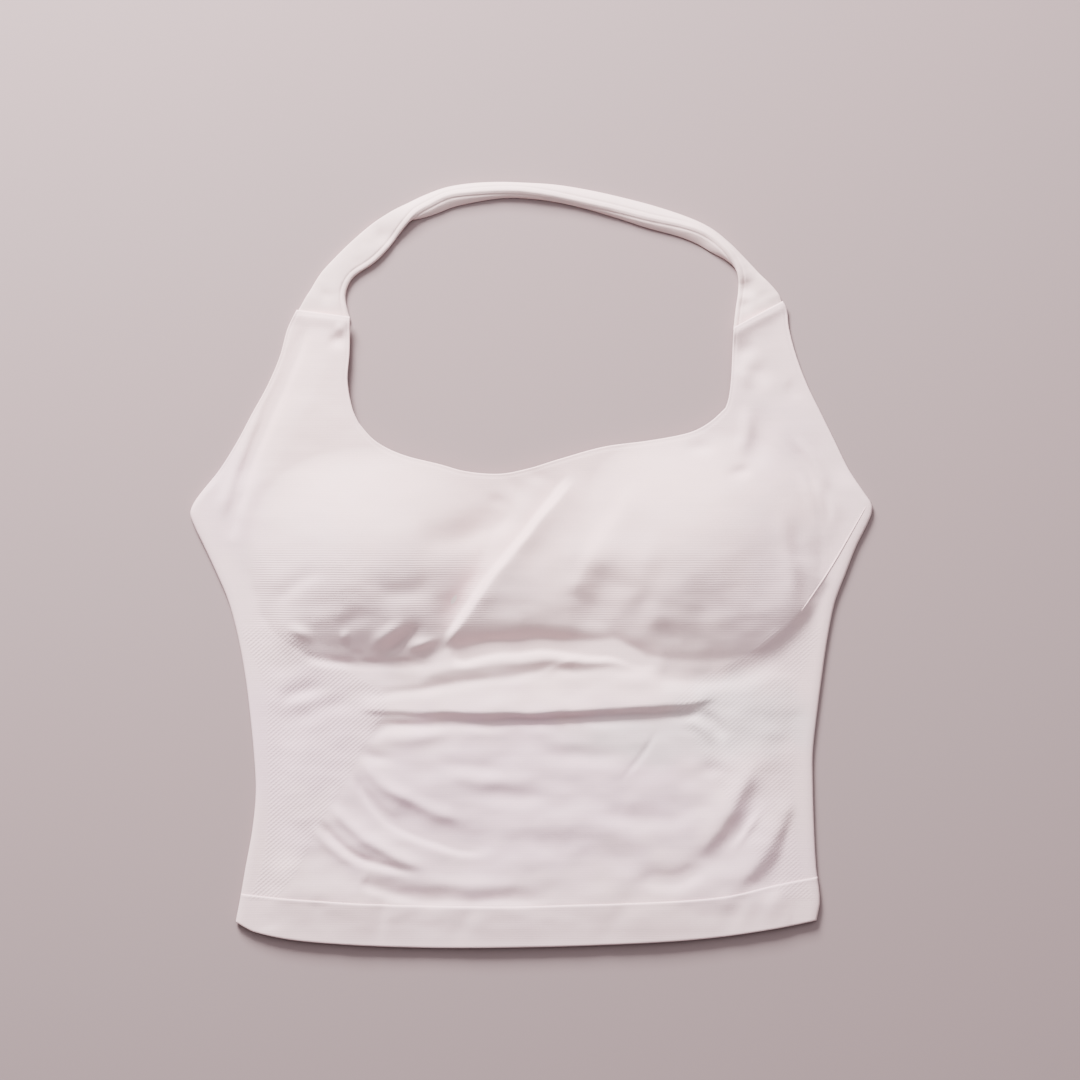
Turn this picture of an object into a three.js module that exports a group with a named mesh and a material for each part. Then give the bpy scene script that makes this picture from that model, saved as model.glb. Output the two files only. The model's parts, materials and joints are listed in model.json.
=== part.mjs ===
// A halter neck top of seamless knit, laid flat on its back panel, in millimetres.
// +X is to the right as seen from above, +Y points to the neck and +Z up from the surface.
// The origin lies on the surface, under the middle of the whole garment.
import * as THREE from "three";
import { mergeVertices } from "three/addons/utils/BufferGeometryUtils.js";

// Cloth and gaps
const FRONT_CLOTH = 1.5;
const BACK_CLOTH = 1.2;
const WELT_CLOTH = 1.8;
const STRAP_CLOTH = 1.3;
const LAYER_GAP = 0.3;

// The front's mesh: the pitch of its columns, and of its rows as a share of the body's height
const COLUMN_PITCH = 6.8;
const EDGE_COLUMNS = [0.0052, 0.0112];
const FINE_ROW = 0.021;
const COARSE_ROW = 0.036;
const FINE_ROWS = [
  { from: 0.36, to: 0.6 },
  { from: 0.76, to: 0.88 },
];
const HALTER_ROWS = 8;
const WELT_ROWS = 3;

// The side edges, from the hem to the halter points: a row for each height
const SIDE_ROWS = [
  { y: -196, left: -157.4, right: 150.2 },
  { y: -189, left: -156.4, right: 151.1 },
  { y: -178, left: -154.3, right: 152.9 },
  { y: -160, left: -151.2, right: 151.0 },
  { y: -140, left: -147.6, right: 149.9 },
  { y: -120, left: -145.8, right: 149.3 },
  { y: -100, left: -146.8, right: 149.2 },
  { y: -80, left: -148.7, right: 151.3 },
  { y: -60, left: -151.2, right: 153.9 },
  { y: -40, left: -154.8, right: 156.8 },
  { y: -20, left: -160.1, right: 160.9 },
  { y: -5, left: -166.4, right: 166.5 },
  { y: 10, left: -173.4, right: 172.4 },
  { y: 20, left: -178.2, right: 177.4 },
  { y: 27, left: -180.5, right: 180.3 },
  { y: 32, left: -179.0, right: 180.3 },
  { y: 38, left: -174.9, right: 176.4 },
  { y: 50, left: -165.2, right: 168.4 },
  { y: 65, left: -155.8, right: 161.0 },
  { y: 80, left: -147.8, right: 153.6 },
  { y: 95, left: -139.6, right: 146.3 },
  { y: 110, left: -133.2, right: 140.6 },
  { y: 125, left: -129.0, right: 136.6 },
  { y: 135, left: -124.1, right: 135.4 },
  { y: 140, left: -122.0, right: 133.0 },
];

// The hem's lower edge and the line where the welt is knitted on, from left to right
const HEM_EDGE = [
  { x: -156.4, y: -189.2 },
  { x: -146.0, y: -194.6 },
  { x: -119.0, y: -199.5 },
  { x: -61.5, y: -202.6 },
  { x: 0.0, y: -202.4 },
  { x: 63.0, y: -200.1 },
  { x: 98.0, y: -197.3 },
  { x: 130.0, y: -192.6 },
  { x: 151.0, y: -188.4 },
];
const WELT_LINE = [
  { x: -153.6, y: -174.1 },
  { x: -132.6, y: -176.2 },
  { x: -77.4, y: -179.5 },
  { x: -15.4, y: -180.6 },
  { x: 28.6, y: -179.5 },
  { x: 74.7, y: -177.8 },
  { x: 104.4, y: -175.0 },
  { x: 131.9, y: -168.8 },
  { x: 151.5, y: -165.1 },
];

// The neckline: across its bottom from corner to corner, and up both inner edges to the strap
const NECK_BOTTOM = [
  { x: -91.2, y: 75.0 },
  { x: -84.3, y: 67.0 },
  { x: -76.4, y: 61.7 },
  { x: -65.2, y: 57.2 },
  { x: -48.3, y: 53.0 },
  { x: -34.0, y: 49.2 },
  { x: -16.5, y: 48.0 },
  { x: -0.6, y: 51.0 },
  { x: 15.3, y: 55.9 },
  { x: 38.1, y: 62.2 },
  { x: 61.4, y: 65.4 },
  { x: 78.4, y: 68.4 },
  { x: 87.9, y: 71.4 },
  { x: 95.9, y: 76.4 },
  { x: 102.8, y: 82.9 },
];
const NECK_LEFT = [
  { x: -91.2, y: 75.0 },
  { x: -94.6, y: 83.0 },
  { x: -97.0, y: 97.0 },
  { x: -96.0, y: 112.0 },
  { x: -95.7, y: 131.0 },
];
const NECK_RIGHT = [
  { x: 102.8, y: 82.9 },
  { x: 104.6, y: 89.0 },
  { x: 105.9, y: 101.0 },
  { x: 107.0, y: 125.3 },
];
const LEFT_SEAM = { outer: { x: -124.1, y: 134.9 }, inner: NECK_LEFT.at(-1) };
const RIGHT_SEAM = { outer: { x: 133.2, y: 139.5 }, inner: NECK_RIGHT.at(-1) };
// Where the body ends and the two halter points begin
const LEFT_SPLIT = { y: 72, across: 0.2 };
const RIGHT_SPLIT = { y: 83, across: 0.838 };

// The back's top edge runs low from underarm to underarm
const BACK_TOP = { atSides: 31, dip: 10, halfWidth: 178 };
const BACK_INSET = 4.8;
const BACK_STEPS = 20;
// Beyond that edge the front comes down to the surface, as it does round the side folds
const STEP_DOWN = { from: 9, to: 24 };
const SIDE_FOLD = { from: 0.8, to: 2.9 };

// The cups' round forms in the front, their pads, and the cloth that bridges them
const CUPS = [
  { name: "left_pad", x: -84, y: 3, halfWidth: 66, up: 59, down: 55, rise: 17 },
  { name: "right_pad", x: 88, y: 9, halfWidth: 66, up: 62, down: 60, rise: 17 },
];
const BRIDGE = { x: 0, y: -6, halfWidth: 66, up: 60, down: 44, rise: 7 };
const CUP_SQUARENESS = 2.4;
// The cups fall away softly towards the neck and firmly under the bust
const CUP_FALL = { up: 1.6, down: 1.25 };
const PAD_REACH = [0.26, 0.48, 0.64, 0.74, 0.8];
const PAD_SPOKES = 28;
const PAD_CLEARANCE = 1.3;

// The largest folds: a smooth line through three points, its half width at both ends, and how far it
// rises, or sinks where that is less than nothing. First the one between the cups, then those under the
// bust, the roll, the belly's bowls, the folds at the right of the hem, and the waist and the left wing.
const FOLDS = [
  { x0: -51, y0: -50, x1: -16, y1: -4, x2: 30, y2: 47, from: 5, to: 10, rise: 4.5 },
  { x0: -130, y0: -37, x1: -100, y1: -50, x2: -49, y2: -50, from: 5, to: 5, rise: -3.5 },
  { x0: -44, y0: -49, x1: 6, y1: -41, x2: 68, y2: -48, from: 5, to: 5, rise: -3.5 },
  { x0: -82, y0: -51, x1: -67, y1: -40, x2: -54, y2: -28, from: 5, to: 5, rise: -2.5 },
  { x0: -64, y0: -60, x1: 0, y1: -53, x2: 66, y2: -54, from: 5, to: 5, rise: 2.0 },
  { x0: -104, y0: -75, x1: 7, y1: -74, x2: 106, y2: -69, from: 7, to: 7, rise: 5.0 },
  { x0: -84, y0: -87, x1: 7, y1: -85, x2: 98, y2: -80, from: 5, to: 5, rise: -3.0 },
  { x0: -88, y0: -117, x1: -62, y1: -145, x2: -22, y2: -156, from: 5, to: 6, rise: -2.0 },
  { x0: -104, y0: -121, x1: -80, y1: -147, x2: -44, y2: -163, from: 5, to: 5, rise: 2.5 },
  { x0: 119, y0: -102, x1: 106, y1: -128, x2: 86, y2: -154, from: 6, to: 7, rise: 3.5 },
  { x0: 137, y0: -118, x1: 127, y1: -146, x2: 104, y2: -172, from: 5, to: 6, rise: 2.5 },
  { x0: -137, y0: -76, x1: -123, y1: -68, x2: -106, y2: -65, from: 6, to: 6, rise: -1.5 },
  { x0: -118, y0: 126, x1: -143, y1: 71, x2: -161, y2: 14, from: 5, to: 5, rise: -2.0 },
];
const FOLD_STEPS = 14;
const FOLD_ENDS = { from: 0.12, to: 0.88, fullness: 0.8 };
// How high the loose cloth stands with the air under it, and how far in from the side folds
const LOFT = 3.6;
const LOFT_REACH = 30;

// The neck strap, folded double along its inner edge: where each stretch has its outer edge and its
// ridge, and how far the inner layer spreads past the ridge (less than nothing where it lies under).
// Where it twists, it lies nearly flat and does not stand as high as its hidden width would let it.
const STRAP_WIDTH = 17;
const STRAP_STAND = 0.3;
const STRAP_ROWS = [
  { outerX: -117.7, outerY: 143.9, ridgeX: -98.1, ridgeY: 138.8, spread: -19 },
  { outerX: -111.4, outerY: 154.0, ridgeX: -97.6, ridgeY: 145.9, spread: -15 },
  { outerX: -103.4, outerY: 162.8, ridgeX: -93.3, ridgeY: 152.8, spread: -14 },
  { outerX: -93.9, outerY: 172.0, ridgeX: -83.3, ridgeY: 159.6, spread: -15 },
  { outerX: -83.8, outerY: 180.5, ridgeX: -75.6, ridgeY: 167.2, spread: -15 },
  { outerX: -73.7, outerY: 187.1, ridgeX: -67.6, ridgeY: 177.6, spread: -6 },
  { outerX: -65.2, outerY: 191.5, ridgeX: -60.5, ridgeY: 185.0, spread: 1.6 },
  { outerX: -56.2, outerY: 195.8, ridgeX: -52.5, ridgeY: 189.6, spread: 3.7 },
  { outerX: -45.1, outerY: 199.8, ridgeX: -43.0, ridgeY: 193.9, spread: 4.2 },
  { outerX: -32.4, outerY: 201.9, ridgeX: -31.3, ridgeY: 195.6, spread: 3.2 },
  { outerX: -18.1, outerY: 202.6, ridgeX: -17.5, ridgeY: 196.6, spread: 2.1 },
  { outerX: -3.8, outerY: 202.2, ridgeX: -4.3, ridgeY: 196.3, spread: 1.6 },
  { outerX: 13.2, outerY: 201.1, ridgeX: 11.6, ridgeY: 194.0, spread: 1.1 },
  { outerX: 30.2, outerY: 198.4, ridgeX: 27.5, ridgeY: 190.6, spread: 1.1 },
  { outerX: 47.1, outerY: 194.7, ridgeX: 43.9, ridgeY: 186.9, spread: 2.1 },
  { outerX: 65.1, outerY: 190.0, ridgeX: 62.0, ridgeY: 182.2, spread: 3.2 },
  { outerX: 83.2, outerY: 184.0, ridgeX: 80.0, ridgeY: 178.2, spread: 4.2 },
  { outerX: 95.3, outerY: 178.2, ridgeX: 91.4, ridgeY: 174.0, spread: 4.8 },
  { outerX: 105.4, outerY: 170.2, ridgeX: 100.4, ridgeY: 167.4, spread: 4.2 },
  { outerX: 114.0, outerY: 161.4, ridgeX: 106.6, ridgeY: 159.9, spread: 0.6 },
  { outerX: 120.6, outerY: 154.3, ridgeX: 109.6, ridgeY: 152.0, spread: -4 },
  { outerX: 126.3, outerY: 148.7, ridgeX: 109.6, ridgeY: 144.4, spread: -12 },
  { outerX: 130.4, outerY: 144.0, ridgeX: 108.4, ridgeY: 136.0, spread: -20 },
];
const STRAP_STEPS = 2;
const STRAP_PUFF = 0.5;
const FOLD_ARC = [1, 0.5, 0, -0.5, -1];
// Where the inner layer's foot comes this near the outer edge, it lies under the outer layer
const STRAP_TUCK = { full: 5, none: 11 };

// Colours
const KNIT_COLOUR = 0xf1e9e7;
const STRAP_COLOUR = 0xefe7e4;
const PAD_COLOUR = 0xece4df;

const lerp = (a, b, t) => a + (b - a) * t;
const mix = (p, q, t) => ({ x: lerp(p.x, q.x, t), y: lerp(p.y, q.y, t) });
const smoothstep = (low, high, value) => THREE.MathUtils.smoothstep(value, low, high);

// A smooth value between the rows of a table, from the rows on both sides and their slopes
function between(rows, along, key, at) {
  const last = rows.length - 1;
  let i = 0;
  while (i < last - 1 && rows[i + 1][along] < at) i += 1;
  const slope = (j) => {
    const a = rows[Math.max(j - 1, 0)];
    const b = rows[Math.min(j + 1, last)];
    return (b[key] - a[key]) / (b[along] - a[along]);
  };
  const step = rows[i + 1][along] - rows[i][along];
  const t = THREE.MathUtils.clamp((at - rows[i][along]) / step, 0, 1);
  const rise = t * t * (3 - 2 * t);
  return (
    lerp(rows[i][key], rows[i + 1][key], rise) +
    t * (1 - t) * step * ((1 - t) * slope(i) - t * slope(i + 1))
  );
}

const leftSide = (y) => between(SIDE_ROWS, "y", "left", y);
const rightSide = (y) => between(SIDE_ROWS, "y", "right", y);

// A curve through a table's points, as a function of the share of its length
function edgeCurve(rows) {
  const curve = new THREE.SplineCurve(rows.map((row) => new THREE.Vector2(row.x, row.y)));
  return (share) => curve.getPointAt(share);
}

// How far a place lies from a rounded form's middle, as a share of the way to its edge
function shareOut(form, x, y) {
  const across = Math.abs(x - form.x) / form.halfWidth;
  const along = Math.abs(y - form.y) / (y > form.y ? form.up : form.down);
  return (across ** CUP_SQUARENESS + along ** CUP_SQUARENESS) ** (1 / CUP_SQUARENESS);
}

function roundForm(form, x, y) {
  const inside = Math.max(0, 1 - shareOut(form, x, y) ** 2);
  const upward = smoothstep(-form.down / 2, form.up / 2, y - form.y);
  return form.rise * inside ** lerp(CUP_FALL.down, CUP_FALL.up, upward);
}

// Each fold's line as points, worked out once
const foldLines = FOLDS.map((fold) => {
  const middle = {
    x: 2 * fold.x1 - (fold.x0 + fold.x2) / 2,
    y: 2 * fold.y1 - (fold.y0 + fold.y2) / 2,
  };
  return Array.from({ length: FOLD_STEPS + 1 }, (_, i) => {
    const t = i / FOLD_STEPS;
    const a = mix({ x: fold.x0, y: fold.y0 }, middle, t);
    const b = mix(middle, { x: fold.x2, y: fold.y2 }, t);
    return { ...mix(a, b, t), t };
  });
});

// A fold is a soft ridge or trough along its line, and it dies away at both ends
function foldHeight(x, y) {
  let sum = 0;
  FOLDS.forEach((fold, f) => {
    let nearest = Infinity;
    let along = 0;
    const line = foldLines[f];
    for (let i = 0; i < FOLD_STEPS; i += 1) {
      const dx = line[i + 1].x - line[i].x;
      const dy = line[i + 1].y - line[i].y;
      const length = dx * dx + dy * dy;
      const share = ((x - line[i].x) * dx + (y - line[i].y) * dy) / length;
      const t = THREE.MathUtils.clamp(share, 0, 1);
      const off = Math.hypot(x - line[i].x - t * dx, y - line[i].y - t * dy);
      if (off < nearest) {
        nearest = off;
        along = lerp(line[i].t, line[i + 1].t, t);
      }
    }
    const halfTurn = Math.PI * lerp(FOLD_ENDS.from, FOLD_ENDS.to, along);
    const ends = Math.sin(halfTurn) ** FOLD_ENDS.fullness;
    const width = lerp(fold.from, fold.to, along);
    sum += fold.rise * ends * Math.exp(-((nearest / width) ** 2));
  });
  return sum;
}

const fromSide = (x, y) => Math.min(x - leftSide(y), rightSide(y) - x);
const backTop = (x) => BACK_TOP.atSides - BACK_TOP.dip * (1 - (x / BACK_TOP.halfWidth) ** 2);

// The front's underside: never lower than the back's cloth, or than the surface at the side folds and
// past the back's top edge, and lifted by the cups, the folds and the cloth's own air
function underside(x, y) {
  const onBack = 1 - smoothstep(STEP_DOWN.from, STEP_DOWN.to, y - backTop(x));
  const inside = smoothstep(SIDE_FOLD.from, SIDE_FOLD.to, fromSide(x, y));
  const lie = (BACK_CLOTH + LAYER_GAP) * onBack * inside;
  const loft = LOFT * smoothstep(SIDE_FOLD.to, LOFT_REACH, fromSide(x, y));
  const cups = CUPS.reduce((most, cup) => Math.max(most, roundForm(cup, x, y)), 0);
  const form = Math.hypot(cups, roundForm(BRIDGE, x, y));
  return Math.max(lie, loft + form + inside * foldHeight(x, y));
}

// A closed wall from patches of places: each patch is rows of points that run with +X, one row
// above the other along +Y, and a point carries the heights of its underside and top
function wallGeometry(patches) {
  const ids = new Map();
  const places = [];
  const idOf = (point) => {
    const key = point.x.toFixed(3) + " " + point.y.toFixed(3);
    if (!ids.has(key)) {
      ids.set(key, places.length);
      places.push(point);
    }
    return ids.get(key);
  };
  const faces = [];
  for (const rows of patches) {
    for (let r = 0; r + 1 < rows.length; r += 1) {
      for (let c = 0; c + 1 < rows[r].length; c += 1) {
        const corners = [rows[r][c], rows[r][c + 1], rows[r + 1][c + 1], rows[r + 1][c]];
        const [a, b, d, e] = corners.map(idOf);
        faces.push([a, b, d], [a, d, e]);
      }
    }
  }
  const count = places.length;
  const positions = places.flatMap((p) => [p.x, p.y, p.top]);
  positions.push(...places.flatMap((p) => [p.x, p.y, p.under]));
  const index = [];
  const edges = new Set();
  for (const face of faces) {
    const [a, b, c] = face;
    index.push(a, b, c, a + count, c + count, b + count);
    face.forEach((from, i) => edges.add(from + " " + face[(i + 1) % 3]));
  }
  for (const face of faces) {
    face.forEach((from, i) => {
      const to = face[(i + 1) % 3];
      if (edges.has(to + " " + from)) return;
      index.push(to, from, from + count, to, from + count, to + count);
    });
  }
  return closedGeometry(positions, index);
}

function closedGeometry(positions, index) {
  const geometry = new THREE.BufferGeometry();
  geometry.setAttribute("position", new THREE.Float32BufferAttribute(positions, 3));
  geometry.setIndex(index);
  const merged = mergeVertices(geometry, 1e-3);
  merged.computeVertexNormals();
  return merged;
}

function frontPoint({ x, y }) {
  const under = underside(x, y);
  return { x, y, under, top: under + FRONT_CLOTH };
}

// Where the columns stand: two close to each side edge, for the side folds, and even ones between
function columnShares() {
  const width = RIGHT_SEAM.outer.x - LEFT_SEAM.outer.x;
  const splits = [0, LEFT_SPLIT.across, RIGHT_SPLIT.across, 1];
  const shares = [0, ...EDGE_COLUMNS];
  for (let i = 0; i + 1 < splits.length; i += 1) {
    const from = Math.max(splits[i], EDGE_COLUMNS.at(-1));
    const to = Math.min(splits[i + 1], 1 - EDGE_COLUMNS.at(-1));
    const count = Math.round(((to - from) * width) / COLUMN_PITCH);
    for (let k = 1; k <= count; k += 1) shares.push(lerp(from, to, k / count));
  }
  shares.push(...EDGE_COLUMNS.map((share) => 1 - share).reverse().slice(1), 1);
  return shares;
}

function rowShares() {
  const shares = [0];
  while (shares.at(-1) < 1 - COARSE_ROW) {
    const at = shares.at(-1);
    const fine = FINE_ROWS.some((zone) => at >= zone.from && at < zone.to);
    shares.push(at + (fine ? FINE_ROW : COARSE_ROW));
  }
  shares.push(1);
  return shares;
}

// A patch between four edges, each a function of a share from 0 to 1
function patch(bottom, top, left, right, acrossShares, upShares) {
  const corner = [bottom(0), bottom(1), top(0), top(1)];
  return upShares.map((v) =>
    acrossShares.map((u) => {
      const blend = (key) =>
        lerp(bottom(u)[key], top(u)[key], v) +
        lerp(left(v)[key], right(v)[key], u) -
        lerp(lerp(corner[0][key], corner[1][key], u), lerp(corner[2][key], corner[3][key], u), v);
      return { x: blend("x"), y: blend("y") };
    }),
  );
}

// A line of the hem as a function of the share of its width, set in at both ends and moved along Y
function across(rows, inset = 0, lift = 0) {
  return (share) => {
    const x = lerp(rows[0].x + inset, rows.at(-1).x - inset, share);
    return { x, y: between(rows, "x", "y", x) + lift };
  };
}

const columns = columnShares();
const leftEdge = (from, to) => (share) => {
  const y = lerp(from, to, share);
  return { x: leftSide(y), y };
};
const rightEdge = (from, to) => (share) => {
  const y = lerp(from, to, share);
  return { x: rightSide(y), y };
};

// The body's top edge: the left halter point's foot, the neckline's bottom, the right one's foot
function splitLine() {
  const neck = edgeCurve(NECK_BOTTOM);
  const left = leftEdge(LEFT_SPLIT.y, LEFT_SPLIT.y)(0);
  const right = rightEdge(RIGHT_SPLIT.y, RIGHT_SPLIT.y)(0);
  return (u) => {
    if (u < LEFT_SPLIT.across) return mix(left, NECK_BOTTOM[0], u / LEFT_SPLIT.across);
    if (u > RIGHT_SPLIT.across) {
      const share = (u - RIGHT_SPLIT.across) / (1 - RIGHT_SPLIT.across);
      return mix(NECK_BOTTOM.at(-1), right, share);
    }
    return neck((u - LEFT_SPLIT.across) / (RIGHT_SPLIT.across - LEFT_SPLIT.across));
  };
}

function frontPanel() {
  const body = patch(
    across(WELT_LINE),
    splitLine(),
    leftEdge(WELT_LINE[0].y, LEFT_SPLIT.y),
    rightEdge(WELT_LINE.at(-1).y, RIGHT_SPLIT.y),
    columns,
    rowShares(),
  );
  const foot = body.at(-1);
  const isCorner = (share) => (point, i) => Math.abs(columns[i] - share) < 1e-6;
  const leftCorner = foot.findIndex(isCorner(LEFT_SPLIT.across));
  const rightCorner = foot.findIndex(isCorner(RIGHT_SPLIT.across));
  const halter = (from, to, left, right, seamLeft, seamRight) => {
    const width = columns[to] - columns[from];
    const shares = columns.slice(from, to + 1).map((u) => (u - columns[from]) / width);
    const ups = Array.from({ length: HALTER_ROWS + 1 }, (_, i) => i / HALTER_ROWS);
    const bottom = (u) => mix(foot[from], foot[to], u);
    const top = (u) => mix(seamLeft, seamRight, u);
    const rows = patch(bottom, top, left, right, shares, ups);
    rows[0] = foot.slice(from, to + 1);
    return rows;
  };
  const leftPoint = halter(
    0,
    leftCorner,
    leftEdge(LEFT_SPLIT.y, LEFT_SEAM.outer.y),
    edgeCurve(NECK_LEFT),
    LEFT_SEAM.outer,
    LEFT_SEAM.inner,
  );
  const rightPoint = halter(
    rightCorner,
    columns.length - 1,
    edgeCurve(NECK_RIGHT),
    rightEdge(RIGHT_SPLIT.y, RIGHT_SEAM.outer.y),
    RIGHT_SEAM.inner,
    RIGHT_SEAM.outer,
  );
  const patches = [body, leftPoint, rightPoint];
  return wallGeometry(patches.map((rows) => rows.map((row) => row.map(frontPoint))));
}

// The front's welt lies on the back's welt, a little thicker than the panel
function frontHem() {
  const rows = patch(
    across(HEM_EDGE),
    across(WELT_LINE, 0, -LAYER_GAP),
    leftEdge(HEM_EDGE[0].y, WELT_LINE[0].y - LAYER_GAP),
    rightEdge(HEM_EDGE.at(-1).y, WELT_LINE.at(-1).y - LAYER_GAP),
    columns,
    Array.from({ length: WELT_ROWS + 1 }, (_, i) => i / WELT_ROWS),
  );
  const onWelt = (WELT_CLOTH + LAYER_GAP) / (BACK_CLOTH + LAYER_GAP);
  const place = ({ x, y }) => {
    const under = Math.min(underside(x, y) * onWelt, WELT_CLOTH + LAYER_GAP + LOFT);
    return { x, y, under, top: under + WELT_CLOTH };
  };
  return wallGeometry([rows.map((row) => row.map(place))]);
}

// A flat layer between a lower and an upper edge, set in from the side folds
function flatLayer(lowerEdge, upperEdge, from, to, thickness) {
  const outline = [];
  for (let i = 0; i <= BACK_STEPS; i += 1) outline.push(lowerEdge(i / BACK_STEPS));
  for (let i = 1; i <= BACK_STEPS; i += 1) {
    const y = lerp(from.right, to.right, i / BACK_STEPS);
    outline.push({ x: rightSide(y) - BACK_INSET, y });
  }
  for (let i = 1; i < BACK_STEPS; i += 1) outline.push(upperEdge(1 - i / BACK_STEPS));
  for (let i = 0; i < BACK_STEPS; i += 1) {
    const y = lerp(to.left, from.left, i / BACK_STEPS);
    outline.push({ x: leftSide(y) + BACK_INSET, y });
  }
  const shape = new THREE.Shape(outline.map((p) => new THREE.Vector2(p.x, p.y)));
  const geometry = new THREE.ExtrudeGeometry(shape, {
    depth: thickness,
    bevelEnabled: false,
    steps: 1,
  });
  geometry.deleteAttribute("normal");
  geometry.deleteAttribute("uv");
  return mergeVertices(geometry, 1e-3);
}

function backPanel() {
  const lower = across(WELT_LINE, BACK_INSET);
  const reach = BACK_TOP.halfWidth - BACK_INSET;
  const upper = (u) => {
    const x = lerp(-reach, reach, u);
    return { x, y: backTop(x) };
  };
  const from = { left: lower(0).y, right: lower(1).y };
  const to = { left: upper(0).y, right: upper(1).y };
  return flatLayer(lower, upper, from, to, BACK_CLOTH);
}

function backHem() {
  const lower = across(HEM_EDGE, BACK_INSET);
  const upper = across(WELT_LINE, BACK_INSET, -LAYER_GAP);
  const from = { left: lower(0).y, right: lower(1).y };
  const to = { left: upper(0).y, right: upper(1).y };
  return flatLayer(lower, upper, from, to, WELT_CLOTH);
}

// A pad fills its cup: flat on the back panel, round under the front
function pad(cup) {
  const flat = BACK_CLOTH + LAYER_GAP;
  const positions = [];
  const addPoint = (x, y) => positions.push(x, y, underside(x, y) - PAD_CLEARANCE);
  addPoint(cup.x, cup.y);
  for (const share of PAD_REACH) {
    for (let s = 0; s < PAD_SPOKES; s += 1) {
      const angle = (2 * Math.PI * s) / PAD_SPOKES;
      const away = share / shareOut(cup, cup.x + Math.cos(angle), cup.y + Math.sin(angle));
      addPoint(cup.x + away * Math.cos(angle), cup.y + away * Math.sin(angle));
    }
  }
  const rim = 1 + (PAD_REACH.length - 1) * PAD_SPOKES;
  const base = positions.length / 3;
  for (let s = 0; s < PAD_SPOKES; s += 1) {
    positions.push(positions[3 * (rim + s)], positions[3 * (rim + s) + 1], flat);
  }
  positions.push(cup.x, cup.y, flat);
  const index = [];
  for (let s = 0; s < PAD_SPOKES; s += 1) {
    const next = (s + 1) % PAD_SPOKES;
    index.push(0, 1 + s, 1 + next);
    for (let r = 0; r + 1 < PAD_REACH.length; r += 1) {
      const a = 1 + r * PAD_SPOKES;
      const b = a + PAD_SPOKES;
      index.push(a + s, b + s, b + next, a + s, b + next, a + next);
    }
    index.push(rim + s, base + s, base + next, rim + s, base + next, rim + next);
    index.push(base + PAD_SPOKES, base + next, base + s);
  }
  return closedGeometry(positions, index);
}

// The strap's cross-section, folded double, from its outer edge (s = 0) over the ridge to the inner
// layer's foot. It rests on its outer edge and that foot. Where the strap shows narrower than it is,
// its ridge stands a little higher.
function strapSection(width, spread) {
  const half = STRAP_CLOTH / 2;
  const parting = (STRAP_CLOTH + LAYER_GAP) / 2;
  const bend = parting + half;
  const stands = STRAP_STAND * Math.sqrt(Math.max(STRAP_WIDTH ** 2 - width ** 2, 0));
  const vector = (s, z) => new THREE.Vector2(s, z);
  const ridge = vector(width - bend, Math.max(stands - bend, bend));
  const footAt = Math.max(width + spread, half);
  const under = 1 - smoothstep(STRAP_TUCK.full, STRAP_TUCK.none, footAt);
  const outer = vector(half, half + under * (STRAP_CLOTH + LAYER_GAP));
  const foot = vector(footAt, half);
  const toOuter = outer.clone().sub(ridge).normalize();
  const toFoot = foot.clone().sub(ridge).normalize();
  const inward = toOuter.clone().add(toFoot).normalize();
  const side = toOuter.clone().addScaledVector(inward, -toOuter.dot(inward)).normalize();
  // Each layer leaves the fold's round where its own slope meets it
  const layer = (end, sign) => {
    const facing = (start) => {
      const run = end.clone().sub(start);
      const out = vector(run.y, -run.x).normalize();
      return out.dot(side) * sign < 0 ? out.negate() : out;
    };
    const leaves = facing(ridge);
    const start = ridge.clone().addScaledVector(leaves, parting);
    const out = facing(start);
    const middle = end.clone().lerp(start, 0.5).addScaledVector(out, STRAP_PUFF);
    return {
      leaves,
      outside: [end, middle].map((p) => p.clone().addScaledVector(out, half)),
      inside: [end, middle].map((p) => p.clone().addScaledVector(out, -half)),
    };
  };
  const upper = layer(outer, 1);
  const lower = layer(foot, -1);
  const turn = Math.acos(-upper.leaves.dot(inward));
  const fold = FOLD_ARC.map((share) => {
    const angle = share * turn;
    const across = side.clone().multiplyScalar(bend * Math.sin(angle));
    return ridge.clone().add(across).addScaledVector(inward, -bend * Math.cos(angle));
  });
  const innerFold = (leg) => ridge.clone().addScaledVector(leg.leaves, LAYER_GAP / 2);
  return [
    ...upper.inside,
    innerFold(upper),
    innerFold(lower),
    ...lower.inside.reverse(),
    ...lower.outside,
    ...fold.reverse(),
    ...upper.outside.reverse(),
  ];
}

// The strap's stations: the seams' ends, moved off by the gap, and the table's rows between
function strapStations() {
  const atSeam = (seam, turn) => {
    const dx = seam.outer.x - seam.inner.x;
    const dy = seam.outer.y - seam.inner.y;
    const length = Math.hypot(dx, dy);
    const offX = (-turn * dy * LAYER_GAP) / length;
    const offY = (turn * dx * LAYER_GAP) / length;
    return {
      outerX: seam.outer.x + offX,
      outerY: seam.outer.y + offY,
      ridgeX: seam.inner.x + offX,
      ridgeY: seam.inner.y + offY,
      spread: -length,
    };
  };
  const rows = [atSeam(LEFT_SEAM, -1), ...STRAP_ROWS, atSeam(RIGHT_SEAM, 1)];
  const numbered = rows.map((row, order) => ({ ...row, order }));
  const count = (rows.length - 1) * STRAP_STEPS;
  return Array.from({ length: count + 1 }, (_, i) => {
    const value = (key) => between(numbered, "order", key, i / STRAP_STEPS);
    return {
      outer: { x: value("outerX"), y: value("outerY") },
      ridge: { x: value("ridgeX"), y: value("ridgeY") },
      spread: value("spread"),
    };
  });
}

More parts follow.
